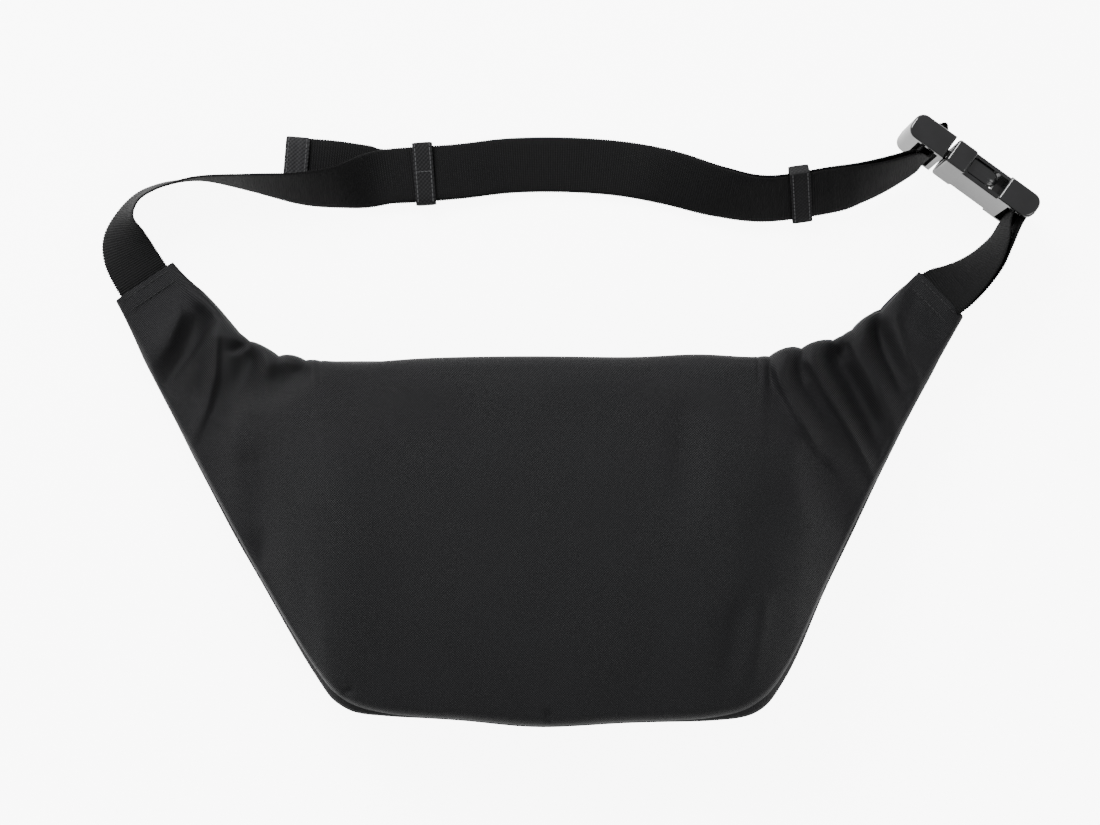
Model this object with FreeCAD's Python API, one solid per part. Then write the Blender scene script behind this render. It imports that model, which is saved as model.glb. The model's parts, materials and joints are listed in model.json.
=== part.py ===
"""Waist pack lying on its front, back panel up, buckle fastened. Millimetres, Z up.

The origin is on the table under the middle of the bag. X runs along the bag from
wing to wing and Y runs from the bottom of the bag to its top edge.
"""
import FreeCAD, Part
import math
import os

Vector = FreeCAD.Vector
UP = Vector(0, 0, 1)
os.makedirs("parts", exist_ok=True)

# Bag outline, seen from the back
top_edge = 91.0
bottom_edge = -83.5
shoulder_half_width = 112.0
bottom_reach_left = 98.0
bottom_reach_right = 108.0
bottom_rise_left = 8.0
bottom_rise_right = 5.0
bottom_corner_radius = 46.0
side_bow_left = 3.0
side_bow_right = 12.0

# Wings: reach and rise of the tip from the shoulder, and how far the tip turns up
wing_reach = 91.0
wing_rise_left = 25.0
wing_rise_right = 21.0
wing_turn_left = 56.0
wing_turn_right = 45.0
wing_tip_width_left = 33.0
wing_tip_width_right = 32.2

# Depth of the bag and of its thin wing tips
bag_depth = 55.0
tip_depth = 6.6
tip_lift = 18.2
back_crown = 8.0
front_top_radius = 40.0
front_low_radius = 22.0
gusset_bulge = 3.0

# Layers
shell_thickness = 1.2
seam_gap = 0.15
layer_gap = 0.3
foam_thickness = 5.0
lining_thickness = 0.5
pocket_depth = 5.5
elastic_width = 9.0
elastic_thickness = 0.9

# Zips
main_zip_angle = 69.0
main_zip_half_length = 96.0
pocket_zip_angle = 34.0
pocket_zip_half_length = 78.0
zip_mouth = 8.0
tape_width = 11.0
tape_thickness = 0.6
coil_width = 1.4
coil_height = 2.0
coil_gap = 0.15
slider_length = 9.0
slider_plate = 1.2
slider_clearance = 0.25
bail_height = 2.0
bail_bar = 1.0
pull_length = 25.0
pull_width = 7.0
stop_length = 3.0

# Webbing
webbing_width = 27.5
webbing_thickness = 1.6
layer_pitch = 2.2
keeper_length = 10.0
keeper_wall = 1.4
keeper_slack = 0.5
tab_length = 12.0

# Side release buckle
buckle_x = 181.0
buckle_y = 205.8
buckle_heading = -36.0
buckle_lean = 6.0
buckle_width = 36.0
buckle_thickness = 13.0
rail_width = 3.4
frame_length = 22.0
buckle_gap = 1.6
collar_length = 11.5
window_length = 20.0
end_length = 19.0
end_rounding = 5.0
rim_rounding = 1.4
end_bar_length = 7.0
slide_bar_radius = 1.6
housing_bar_radius = 2.0
bar_clearance = 0.35
tunnel_half_width = 15.0
tunnel_half_height = 4.0
arm_half_height = 3.2
arm_root = 8.0
arm_width = 4.0
arm_head_width = 7.4
guide_half_width = 2.4
waist_step = 3.0


def save(name, shape):
    """Write one subcomponent."""
    shape.exportStep("parts/" + name + ".step")


def flat_solid(points, direction):
    """A closed outline swept straight along one direction."""
    face = Part.Face(Part.makePolygon(points + [points[0]]))
    return face.extrude(direction)


def four_sided(a, b, c, d):
    """Flat face where the corners allow it, otherwise two triangles."""
    normal = (b - a).cross(d - a)
    if normal.Length > 1e-9 and abs((c - a).dot(normal)) / normal.Length < 1e-7:
        return [Part.Face(Part.makePolygon([a, b, c, d, a]))]
    halves = []
    for corner in ([a, b, c], [a, c, d]):
        area = (corner[1] - corner[0]).cross(corner[2] - corner[0]).Length
        if area > 1e-7:
            halves.append(Part.Face(Part.makePolygon(corner + [corner[0]])))
    return halves


def skin(profiles, returning=None):
    """Closed solid through a row of outlines that all have the same corners.

    Both sides of a layer are split the same way, so that layers stay parallel. From the
    outline numbered returning, the row runs back along itself and is split to match.
    """
    faces = []
    count = len(profiles[0])
    for step, (first, second) in enumerate(zip(profiles, profiles[1:])):
        back_again = returning is not None and step >= returning
        for i in range(count):
            j = (i + 1) % count
            if (i < count // 2) != back_again:
                faces += four_sided(first[i], first[j], second[j], second[i])
            else:
                faces += four_sided(first[j], second[j], second[i], first[i])
    for end in (profiles[0], profiles[-1]):
        half = count // 2
        for i in range(half - 1):
            faces += four_sided(end[i], end[i + 1], end[count - 2 - i], end[count - 1 - i])
    shell = Part.makeShell(faces)
    shell.sewShape()
    solid = Part.makeSolid(shell)
    if solid.Volume < 0:
        solid.reverse()
    return solid


# ---------------------------------------------------------------- bag stations

class Station:
    """One cross section of the bag, from its upper edge to its lower edge."""

    def __init__(self, upper, lower, fullness, lift):
        self.upper = upper
        self.width = (lower - upper).Length
        self.across = (lower - upper) / self.width
        self.depth = tip_depth + (bag_depth - tip_depth) * fullness
        self.front = tip_lift * lift
        self.back = self.front + self.depth
        self.crown = back_crown * fullness ** 2
        share = self.depth / bag_depth
        self.top_radius = front_top_radius * share
        self.low_radius = front_low_radius * share
        self.bulge = gusset_bulge * share

    def point(self, along, height):
        return self.upper + self.across * along + UP * height

    def top_arc(self, angle, inset):
        turn = math.radians(angle)
        radius = self.top_radius - inset
        return self.point(self.top_radius - radius * math.sin(turn),
                          self.front + self.top_radius - radius * math.cos(turn))

    def low_arc(self, angle, inset):
        turn = math.radians(angle)
        radius = self.low_radius - inset
        bulge = self.bulge * math.sin(turn) ** 2
        return self.point(self.width - self.low_radius + radius * math.sin(turn) + bulge,
                          self.front + self.low_radius - radius * math.cos(turn))

    def low_wall(self, inset, below_back):
        return self.point(self.width - inset, self.back - below_back)

    def top_wall(self, inset, below_back):
        return self.point(inset, self.back - below_back)

    def back_line(self, fraction, inset, margin):
        along = margin + (self.width - 2 * margin) * fraction
        share = min(max(along / self.width, 0), 1)
        rise = self.crown * math.sin(math.pi * share) ** 0.7
        return self.point(along, self.back + rise + shell_thickness - inset)


def heading(angle):
    turn = math.radians(angle)
    return Vector(math.cos(turn), math.sin(turn), 0)


def bend(start, knee, end, fraction):
    """Point on a curve pulled towards a knee."""
    rest = 1 - fraction
    return start * rest ** 2 + knee * (2 * rest * fraction) + end * fraction ** 2


def wing_tip(side):
    """Middle of a wing tip and the direction in which its strap leaves."""
    rise = wing_rise_left if side < 0 else wing_rise_right
    turn = wing_turn_left if side < 0 else wing_turn_right
    reach = heading(rise) * wing_reach
    axis = heading(turn)
    middle = Vector(side * (shoulder_half_width + reach.x), top_edge + reach.y, 0)
    return middle, Vector(side * axis.x, axis.y, 0)


def half_stations(side):
    """Stations from the middle of the bag out to one wing tip."""
    middle, axis = wing_tip(side)
    edge = Vector(axis.y, -axis.x, 0) * side
    tip_width = wing_tip_width_left if side < 0 else wing_tip_width_right
    side_bow = side_bow_left if side < 0 else side_bow_right
    tip_low = middle + edge * (tip_width / 2)
    tip_high = middle - edge * (tip_width / 2)
    shoulder = Vector(side * shoulder_half_width, top_edge, 0)
    back_to_edge = (tip_high.y - top_edge) / axis.y
    knee_high = tip_high - axis * back_to_edge
    lowest = Vector(0, bottom_edge, 0)
    if side < 0:
        corner = Vector(-bottom_reach_left, bottom_edge + bottom_rise_left, 0)
    else:
        corner = Vector(bottom_reach_right, bottom_edge + bottom_rise_right, 0)
    spreading = (corner - lowest).normalize()
    rising = (tip_low - corner).normalize()
    turn = math.acos(spreading.dot(rising))
    tangent = bottom_corner_radius * math.tan(turn / 2)
    corner_start = corner - spreading * tangent
    corner_end = corner + rising * tangent
    knee_low = (corner_end + tip_low) / 2 - edge * side_bow
    low = [lowest,
           (lowest + corner_start) / 2,
           corner_start,
           bend(corner_start, corner, corner_end, 0.5),
           corner_end]
    low += [bend(corner_end, knee_low, tip_low, part) for part in (0.25, 0.5, 0.75)]
    low.append(tip_low)
    high = [Vector(0, top_edge, 0),
            Vector(side * shoulder_half_width * 0.5, top_edge, 0),
            Vector(side * shoulder_half_width * 0.9, top_edge, 0),
            shoulder]
    high += [bend(shoulder, knee_high, tip_high, part) for part in (0.22, 0.44, 0.65, 0.84)]
    high.append(tip_high)
    fullness = [1, 1, 1, 0.96, 0.84, 0.62, 0.38, 0.17, 0]
    lift = [0, 0, 0, 0, 0.03, 0.12, 0.32, 0.64, 1]
    return [Station(*parts) for parts in zip(high, low, fullness, lift)]


left_half = half_stations(-1)
right_half = half_stations(1)
stations = list(reversed(left_half)) + right_half[1:]
middle_index = len(left_half) - 1


def between(reach):
    """Stations up to a count of steps either side of the middle."""
    return stations[middle_index - reach: middle_index + reach + 1]


def band(row, line, outer, inner):
    """A layer of the bag between two insets along the row of stations."""
    profiles = []
    for station in row:
        outside = line(station, outer)
        inside = line(station, inner)
        profiles.append(outside + list(reversed(inside)))
    return skin(profiles)


# ---------------------------------------------------------------- bag panels

def back_panel_line(station, inset):
    return [station.back_line(part, inset, 0) for part in (0, 0.1, 0.3, 0.5, 0.7, 0.9, 1)]


def foam_line(station, inset):
    return [station.back_line(part, inset, 0) for part in (0.1, 0.3, 0.5, 0.7, 0.9)]


def top_gusset_line(station, inset):
    split = math.degrees(seam_gap / station.top_radius)
    low_end = main_zip_angle + split
    return [station.top_wall(inset, seam_gap),
            station.top_arc(90, inset),
            station.top_arc((90 + low_end) / 2, inset),
            station.top_arc(low_end, inset)]


def upper_front_line(station, inset):
    split = math.degrees(seam_gap / station.top_radius)
    span = main_zip_angle - pocket_zip_angle
    return [station.top_arc(main_zip_angle - split, inset),
            station.top_arc(main_zip_angle - span / 4, inset),
            station.top_arc(main_zip_angle - span / 2, inset),
            station.top_arc(main_zip_angle - span * 3 / 4, inset),
            station.top_arc(pocket_zip_angle + split, inset)]


def lower_front_line(station, inset):
    split = math.degrees(seam_gap / station.top_radius)
    return [station.top_arc(pocket_zip_angle - split, inset),
            station.top_arc(pocket_zip_angle * 2 / 3, inset),
            station.top_arc(pocket_zip_angle / 3, inset),
            station.top_arc(0, inset),
            station.low_arc(0, inset),
            station.low_arc(22, inset),
            station.low_arc(44, inset)]


def low_gusset_line(station, inset):
    split = math.degrees(seam_gap / station.low_radius)
    return [station.low_arc(44 + 2 * split, inset),
            station.low_arc(67, inset),
            station.low_arc(90, inset),
            station.low_wall(inset, seam_gap)]


def arc_normal(angle):
    turn = math.radians(angle)
    return Vector(0, math.sin(turn), -math.cos(turn))


def arc_tangent(angle):
    turn = math.radians(angle)
    return Vector(0, math.cos(turn), math.sin(turn))


def zip_point(angle, inset):
    """Middle of a zip at a depth below the outer face of the bag."""
    radius = front_top_radius - inset
    turn = math.radians(angle)
    return Vector(0, top_edge - front_top_radius + radius * math.sin(turn),
                  front_top_radius - radius * math.cos(turn))


def zip_block(angle, x_from, x_to, side_from, side_to, inset_from, inset_to):
    """Block in the frame of a zip: along X, across the zip, and into the bag."""
    across = arc_tangent(angle)
    corners = []
    for side, inset in ((side_from, inset_from), (side_to, inset_from),
                        (side_to, inset_to), (side_from, inset_to)):
        spot = zip_point(angle, 0) + across * side - arc_normal(angle) * inset
        corners.append(Vector(x_from, spot.y, spot.z))
    return flat_solid(corners, Vector(x_to - x_from, 0, 0))


def zip_channel(angle, half_length):
    return zip_block(angle, -half_length, half_length, -zip_mouth / 2, zip_mouth / 2, -3, 6)


main_channel = zip_channel(main_zip_angle, main_zip_half_length)
pocket_channel = zip_channel(pocket_zip_angle, pocket_zip_half_length)

back_panel = band(stations, back_panel_line, 0, shell_thickness)
foam_top = shell_thickness + layer_gap
back_foam = band(between(4), foam_line, foam_top, foam_top + foam_thickness)
top_gusset = band(stations, top_gusset_line, 0, shell_thickness).cut(main_channel)
upper_front = band(stations, upper_front_line, 0, shell_thickness)
upper_front = upper_front.cut(main_channel).cut(pocket_channel)
lower_front = band(stations, lower_front_line, 0, shell_thickness).cut(pocket_channel)
low_gusset = band(stations, low_gusset_line, 0, shell_thickness)

save("back_panel", back_panel)
save("back_foam", back_foam)
save("top_gusset", top_gusset)
save("upper_front_panel", upper_front)
save("pocket_panel", lower_front)
save("lower_gusset", low_gusset)

# Lining: a sleeve open at the main zip, standing clear of the pocket at the front
tape_inset = shell_thickness + layer_gap
lining_inset = tape_inset + tape_thickness + layer_gap
pocket_inset = tape_inset + tape_thickness + layer_gap
pocket_back = lining_inset + pocket_depth
mouth = math.degrees((zip_mouth / 2 + 1) / front_top_radius)


def lining_line(station, inset):
    deep = inset + pocket_depth + layer_gap + lining_thickness
    foam_side = foam_top + foam_thickness + layer_gap - lining_inset + inset
    row = [station.top_arc(main_zip_angle - mouth, inset),
           station.top_arc(pocket_zip_angle + 14, inset + pocket_depth * 0.6),
           station.top_arc(pocket_zip_angle - 8, deep),
           station.top_arc(0, deep),
           station.low_arc(0, deep),
           station.low_arc(35, deep),
           station.low_arc(60, inset + pocket_depth * 0.5),
           station.low_arc(90, inset),
           station.low_wall(inset, foam_side - inset + 2)]
    row += [station.back_line(part, foam_side, 0) for part in (0.9, 0.7, 0.5, 0.3, 0.1)]
    row += [station.top_wall(inset, foam_side - inset + 2),
            station.top_arc(90, inset),
            station.top_arc(main_zip_angle + mouth, inset)]
    return row


lining = band(between(4), lining_line, lining_inset, lining_inset + lining_thickness)
save("lining", lining)


def pocket_line(station, inset):
    return [station.top_arc(pocket_zip_angle + 10, inset),
            station.top_arc(pocket_zip_angle, inset + 2.6),
            station.top_arc(pocket_zip_angle - 12, inset + pocket_depth * 0.8),
            station.top_arc(0, inset + pocket_depth),
            station.low_arc(0, inset + pocket_depth),
            station.low_arc(25, inset + pocket_depth * 0.6),
            station.low_arc(42, inset)]


pocket_bag = band(between(2), pocket_line, pocket_inset, pocket_inset + lining_thickness)
save("pocket_bag", pocket_bag)


def elastic_line(station, inset):
    return [station.point(5, station.back - inset),
            station.point(5 + elastic_width, station.back - inset)]


for name, half in (("elastic_left", left_half), ("elastic_right", right_half)):
    elastic = band(half[5:8], elastic_line, layer_gap, layer_gap + elastic_thickness)
    save(name, elastic)

# ---------------------------------------------------------------- zips

pull_height = bail_height / 2


def curved_tape(angle, half_length, side):
    """One zip tape, following the bend of the bag behind the panels."""
    start = angle + side * math.degrees((coil_gap + 0.3) / front_top_radius)
    end = angle + side * math.degrees(tape_width / front_top_radius)
    row = [start, (start + end) / 2, end]
    outline = []
    for turn in row:
        outline.append(zip_point(turn, tape_inset))
    for turn in reversed(row):
        outline.append(zip_point(turn, tape_inset + tape_thickness))
    moved = [point - Vector(half_length, 0, 0) for point in outline]
    return flat_solid(moved, Vector(2 * half_length, 0, 0))


def make_zip(name, angle, half_length):
    """Tapes, coils, slider, pull and end stops of one straight zip."""
    save(name + "_tape_top", curved_tape(angle, half_length + 5, 1))
    save(name + "_tape_bottom", curved_tape(angle, half_length + 5, -1))
    coil_floor = tape_inset - 0.1
    coil_top = coil_floor - coil_height
    chain = half_length - stop_length - 1
    for row, side in (("top", 1), ("bottom", -1)):
        near = side * coil_gap
        far = side * (coil_gap + coil_width)
        coil = zip_block(angle, -chain, chain, near, far, coil_floor, coil_top)
        save(name + "_coil_" + row, coil)
    for end, side in (("left", -1), ("right", 1)):
        x_near = side * (chain + 0.2)
        x_far = side * (chain + 0.2 + stop_length)
        stop = zip_block(angle, x_near, x_far, -2.2, 2.2, coil_floor, coil_top)
        save(name + "_stop_" + end, stop)
    # Slider with flanges either side of the coils, and a bail over its plate
    slider_x = chain - 1
    x_far = slider_x - slider_length
    under = coil_top - slider_clearance
    half = coil_gap + coil_width + slider_clearance
    plate = zip_block(angle, x_far, slider_x, -half - 0.9, half + 0.9, under, under - slider_plate)
    flange_a = zip_block(angle, x_far, slider_x, half, half + 0.9, coil_floor - 0.3, under)
    flange_b = zip_block(angle, x_far, slider_x, -half - 0.9, -half, coil_floor - 0.3, under)
    over = under - slider_plate
    bail_a = x_far + 0.8
    bail_b = slider_x - 0.8
    roof = over - bail_height
    post_a = zip_block(angle, bail_a, bail_a + bail_bar, -0.9, 0.9, over, roof)
    post_b = zip_block(angle, bail_b - bail_bar, bail_b, -0.9, 0.9, over, roof)
    beam = zip_block(angle, bail_a, bail_b, -0.9, 0.9, roof, roof - bail_bar)
    slider = plate.fuse([flange_a, flange_b, post_a, post_b, beam]).removeSplitter()
    save(name + "_slider", slider)
    # Pull: a crossbar under the bail, two arms and a flat tab
    pivot_x = (x_far + slider_x) / 2
    axis_inset = over - pull_height
    axis_spot = zip_point(angle, 0) - arc_normal(angle) * axis_inset
    axis_spot = Vector(pivot_x, axis_spot.y, axis_spot.z)
    across = arc_tangent(angle)
    bar_start = axis_spot - across * (pull_width / 2)
    crossbar = Part.makeCylinder(0.65, pull_width, bar_start, across)
    outer = axis_inset - 0.65
    inner = axis_inset + 0.65
    gap_end = pivot_x - 5.2
    arms = []
    for side in (-1, 1):
        edge_a = side * (pull_width / 2)
        edge_b = side * (pull_width / 2 - 1.8)
        arms.append(zip_block(angle, gap_end, pivot_x, edge_a, edge_b, inner, outer))
    tab = zip_block(angle, pivot_x - pull_length, gap_end, -pull_width / 2, pull_width / 2,
                    inner, outer)
    pull = crossbar.fuse(arms + [tab]).removeSplitter()
    save(name + "_pull", pull)


make_zip("main_zip", main_zip_angle, main_zip_half_length)
make_zip("pocket_zip", pocket_zip_angle, pocket_zip_half_length)

# ---------------------------------------------------------------- buckle frame

buckle_along = heading(buckle_heading)
buckle_level = Vector(-buckle_along.y, buckle_along.x, 0)
lean = math.radians(buckle_lean)
buckle_up = UP * math.cos(lean) + buckle_level * math.sin(lean)
buckle_across = buckle_level * math.cos(lean) - UP * math.sin(lean)
buckle_centre_height = (buckle_width / 2 * math.cos(lean)
                        + buckle_thickness / 2 * math.sin(lean) + 0.1)
buckle_start = Vector(buckle_x, buckle_y, buckle_centre_height)
buckle_matrix = FreeCAD.Matrix(
    buckle_along.x, buckle_across.x, buckle_up.x, buckle_start.x,
    buckle_along.y, buckle_across.y, buckle_up.y, buckle_start.y,
    buckle_along.z, buckle_across.z, buckle_up.z, buckle_start.z)


def in_buckle(x, y, z):
    """Place of a point given along, across and up the buckle."""
    return buckle_start + buckle_along * x + buckle_across * y + buckle_up * z


def buckle_block(x_from, x_to, y_half, z_from, z_to, rounding=0.0):
    block = Part.makeBox(x_to - x_from, 2 * y_half, z_to - z_from,
                         Vector(x_from, -y_half, z_from))
    if rounding:
        block = block.makeFillet(rounding, block.Edges)
    return block


def rounded_block(x_from, x_to, end_x):
    """Full section of the buckle, with the outer end rounded between the wide faces."""
    block = buckle_block(x_from, x_to, half_thick, -half_width, half_width)
    standing = [edge for edge in block.Edges
                if edge.Length > buckle_width - 0.01 and abs(edge.CenterOfMass.x - end_x) < 0.01]
    block = block.makeFillet(end_rounding, standing)
    rims = [edge for edge in block.Edges if abs(edge.CenterOfMass.z) > half_width - 0.01]
    return block.makeFillet(rim_rounding, rims)


def placed(shape):
    return shape.transformGeometry(buckle_matrix)


half_width = buckle_width / 2
half_thick = buckle_thickness / 2
collar_start = frame_length + buckle_gap
window_start = collar_start + collar_length
window_end = window_start + window_length
buckle_length = window_end + end_length
housing_bar_x = buckle_length - end_bar_length + housing_bar_radius
slot_half = half_width - rail_width
slide_bar_x = frame_length - 2.5 - 4.0 - slide_bar_radius
slide_bar_y = 3.6
housing_bar_y = 3.0
slide_turn = slide_bar_radius + bar_clearance + webbing_thickness / 2
housing_turn = housing_bar_radius + bar_clearance + webbing_thickness / 2

# ---------------------------------------------------------------- webbing paths


class Frame:
    """One place on a strap: middle, direction across it, and its upper face."""

    def __init__(self, middle, wide, face, pitch):
        self.middle = middle
        self.wide = wide
        self.face = face
        self.pitch = pitch


def lay(points):
    """Frames along a strap from its places, heights and rolls in degrees."""
    frames = []
    for i, (x, y, z, roll, pitch) in enumerate(points):
        before = points[max(i - 1, 0)]
        after = points[min(i + 1, len(points) - 1)]
        along = Vector(after[0] - before[0], after[1] - before[1], 0).normalize()
        level = Vector(-along.y, along.x, 0)
        turn = math.radians(roll)
        wide = level * math.cos(turn) + UP * math.sin(turn)
        frames.append(Frame(Vector(x, y, z), wide, along.cross(wide), pitch))
    return frames


def refined(frames):
    """The same strap with a frame added half way between each pair."""
    row = [frames[0]]
    for first, second in zip(frames, frames[1:]):
        middle = (first.middle + second.middle) / 2
        wide = (first.wide + second.wide).normalize()
        face = (first.face + second.face).normalize()
        row.append(Frame(middle, wide, face, (first.pitch + second.pitch) / 2))
        row.append(second)
    return row


def ribbon_profile(middle, wide, face):
    side = wide * (webbing_width / 2)
    depth = face * (webbing_thickness / 2)
    return [middle - side + depth, middle + side + depth,
            middle + side - depth, middle - side - depth]


def layer_profiles(frames, side):
    return [ribbon_profile(spot.middle + spot.face * (side * spot.pitch / 2),
                           spot.wide, spot.face * side) for spot in frames]


def turn_profiles(frames, centre, radius, along):
    """Half turn round a bar, from the upper layer to the lower one."""
    last = frames[-1]
    rows = []
    for step in range(0, 7):
        angle = math.pi * step / 6
        out = last.face * math.cos(angle) + along * math.sin(angle)
        rows.append(ribbon_profile(centre + out * radius, last.wide, out))
    return rows


def straight(point, direction, length, roll, pitch):
    """Places before, at and after a keeper, all on one straight line."""
    row = []
    for side in (-1, 1):
        x = point[0] + direction.x * length * side
        y = point[1] + direction.y * length * side
        row.append((x, y, point[2], roll, pitch))
    return row


left_tip, left_axis = wing_tip(-1)
right_tip, right_axis = wing_tip(1)
tip_middle = tip_lift + shell_thickness + (tip_depth - shell_thickness) / 2
hem = 12.0
keeper_half_depth = (layer_pitch + webbing_thickness) / 2 + keeper_slack + keeper_wall
keeper_half_width = webbing_width / 2 + keeper_slack + keeper_wall

# Left strap: out of the wing, rolling on to its edge, then over the tail
left_keeper = (-57.8, 184.3, keeper_half_depth + 0.1)
left_keeper_heading = heading(4)
right_keeper_roll = 42.0
roll_turn = math.radians(right_keeper_roll)
right_keeper_height = (keeper_half_width * math.sin(roll_turn)
                       + keeper_half_depth * math.cos(roll_turn) + 0.1)
right_keeper = (129.0, 173.4, right_keeper_height)
right_keeper_heading = heading(8)
single = 0.0
start = left_tip - left_axis * hem
outside = left_tip + left_axis * 3
edge_height = webbing_width / 2 + 0.3
bend_out = [(-8.0, 13.5, tip_middle - 1.2, 167),
            (-10.8, 23.0, 19.0, 148),
            (-10.5, 33.4, 16.8, 118),
            (-4.9, 42.2, 15.2, 106),
            (4.0, 47.2, 14.5, 101),
            (14.5, 50.0, 14.3, 97),
            (28.5, 51.6, edge_height, 90)]
loose_points = [(start.x, start.y, tip_middle, 180, single),
                (outside.x, outside.y, tip_middle - 0.2, 179, single)]
for x, y, z, roll in bend_out:
    loose_points.append((left_tip.x + x, left_tip.y + y, z, roll, single))
loose_points += [(-143.0, 178.9, 13.9, 76, single),
                 (-118.8, 176.2, 12.8, 59, single),
                 (-99.0, 177.2, 11.4, 43, single)]
paired_points = straight(left_keeper, left_keeper_heading, 16, 0, layer_pitch)
low_layer = 2 * 0.1 + (layer_pitch + webbing_thickness) / 2
paired_points += [(-15.0, 188.6, low_layer, 0, layer_pitch),
                  (13.0, 189.0, low_layer, 0, layer_pitch),
                  (41.0, 187.0, low_layer, 0, layer_pitch),
                  (65.0, 182.0, 6.8, 18, layer_pitch),
                  (89.0, 174.8, 11.4, 33, layer_pitch)]
paired_points += straight(right_keeper, right_keeper_heading, 16, right_keeper_roll, layer_pitch)
paired_points += [(158.5, 178.9, 15.4, 52, layer_pitch),
                  (170.5, 183.0, 16.8, 62, layer_pitch + 0.4)]
loose_frames = lay(loose_points + paired_points)
entry = in_buckle(slide_bar_x, -half_thick - 1.5, 0)
slide_centre = in_buckle(slide_bar_x, slide_bar_y, 0)
near_entry = in_buckle(slide_bar_x, -half_thick - 7.5, 0)
loose_frames.append(Frame(near_entry, buckle_up, buckle_along, slide_turn + 1.6))
loose_frames.append(Frame(entry, buckle_up, buckle_along, 2 * slide_turn))
pair_from = 2 * len(loose_points)
loose_frames = refined(loose_frames)
tail_height = webbing_thickness / 2 + 0.1
main_layer = layer_profiles(loose_frames, 1)
turn_layer = turn_profiles(loose_frames, slide_centre, slide_turn, buckle_across)
tail_layer = list(reversed(layer_profiles(loose_frames[pair_from:], -1)))
tail_frames = lay([(-117.5, 188.8, tail_height, 0, single),
                   (-103.0, 187.6, tail_height, 0, single),
                   (-88.0, 185.4, tail_height + 0.2, 0, single)])
tail_end = list(reversed(layer_profiles(tail_frames, -1)))
returning = len(main_layer) + len(turn_layer)
loose_strap = skin(main_layer + turn_layer + tail_layer + tail_end, returning)
save("adjustable_strap", loose_strap)

# End tab: the tail folded over and stitched, a sleeve closed at its end
tab_frame = tail_frames[0]


def oriented_box(middle, along, wide, face, half_along, half_wide, half_face):
    corner = [middle - along * half_along + wide * (half_wide * a) + face * (half_face * b)
              for a, b in ((-1, -1), (1, -1), (1, 1), (-1, 1))]
    return flat_solid(corner, along * (2 * half_along))


tab_along = (tail_frames[1].middle - tail_frames[0].middle).normalize()
tab_wide = Vector(-tab_along.y, tab_along.x, 0)
tab_middle = tab_frame.middle - tab_along * (tab_length / 2 + 0.2)
tab_middle = Vector(tab_middle.x, tab_middle.y, 1.8)
strap_tab = oriented_box(tab_middle, tab_along, tab_wide, UP,
                         tab_length / 2, webbing_width / 2, 1.7)
save("strap_end_tab", strap_tab)


def make_keeper(name, place, direction, roll):
    """Square sewn ring round both layers of the strap."""
    middle = Vector(*place)
    level = Vector(-direction.y, direction.x, 0)
    turn = math.radians(roll)
    wide = level * math.cos(turn) + UP * math.sin(turn)
    face = direction.cross(wide)
    outer = oriented_box(middle, direction, wide, face,
                         keeper_length / 2, keeper_half_width, keeper_half_depth)
    inner = oriented_box(middle, direction, wide, face, keeper_length,
                         keeper_half_width - keeper_wall, keeper_half_depth - keeper_wall)
    save(name, outer.cut(inner))


make_keeper("keeper_left", left_keeper, left_keeper_heading, 0)
make_keeper("keeper_right", right_keeper, right_keeper_heading, right_keeper_roll)

# Right strap: two layers from the wing to the end bar of the housing
start = right_tip - right_axis * hem
outside = right_tip + right_axis * 3
double = layer_pitch - 0.2
entry = in_buckle(housing_bar_x, -half_thick - 1.0, 0)
run = entry - outside
aside = Vector(run.y, -run.x, 0).normalize()
fixed_points = [(start.x, start.y, tip_middle, 0, double),
                (outside.x, outside.y, tip_middle - 0.1, -1, double)]
for part, shift, roll in ((0.27, 2.4, -34), (0.56, 4.2, -62), (0.79, 3.0, -77)):
    place = outside + run * part + aside * shift
    height = tip_middle + (entry.z - tip_middle) * part
    fixed_points.append((place.x, place.y, height, roll, double + part ** 6 * 3))
fixed_frames = lay(fixed_points)
housing_centre = in_buckle(housing_bar_x, housing_bar_y, 0)
fixed_frames.append(Frame(entry, -buckle_up, -buckle_along, 2 * housing_turn))
fixed_frames = refined(fixed_frames)
outward = layer_profiles(fixed_frames, 1)
turning = turn_profiles(fixed_frames, housing_centre, housing_turn, buckle_across)
inward = list(reversed(layer_profiles(fixed_frames, -1)))
returning = len(outward) + len(turning)
fixed_strap = skin(outward + turning + inward, returning)
save("fixed_strap", fixed_strap)

# ---------------------------------------------------------------- housing

waist = half_width - waist_step
collar = buckle_block(collar_start, window_start, half_thick, -half_width, half_width, 1.6)
window_zone = buckle_block(window_start - 2, window_end + 2, half_thick, -waist, waist, 1.2)
end_zone = rounded_block(window_end, buckle_length, buckle_length)
housing = collar.fuse([window_zone, end_zone])
tunnel = buckle_block(collar_start - 1, window_end, tunnel_half_height,
                      -tunnel_half_width, tunnel_half_width)
side_window = buckle_block(window_start + 1, window_end, tunnel_half_height + 0.4,
                           -half_width - 1, half_width + 1)
middle_post = buckle_block(window_end - 4, window_end + 1, half_thick - 1, -6, 6)
end_slot = buckle_block(housing_bar_x - housing_bar_radius - 5.2,
                        housing_bar_x - housing_bar_radius + 1,
                        half_thick + 1, -slot_half, slot_half)
bar_room = buckle_block(housing_bar_x - housing_bar_radius, buckle_length + 1,
                        half_thick + 1, -slot_half, slot_half)
end_bar = Part.makeCylinder(housing_bar_radius, 2 * slot_half + 2,
                            Vector(housing_bar_x, housing_bar_y, -slot_half - 1),
                            UP)
housing = housing.cut(tunnel).cut(side_window).fuse(middle_post)
housing = housing.cut(end_slot).cut(bar_room).fuse(end_bar)
save("buckle_housing", placed(housing.removeSplitter()))

# ---------------------------------------------------------------- plug

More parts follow.
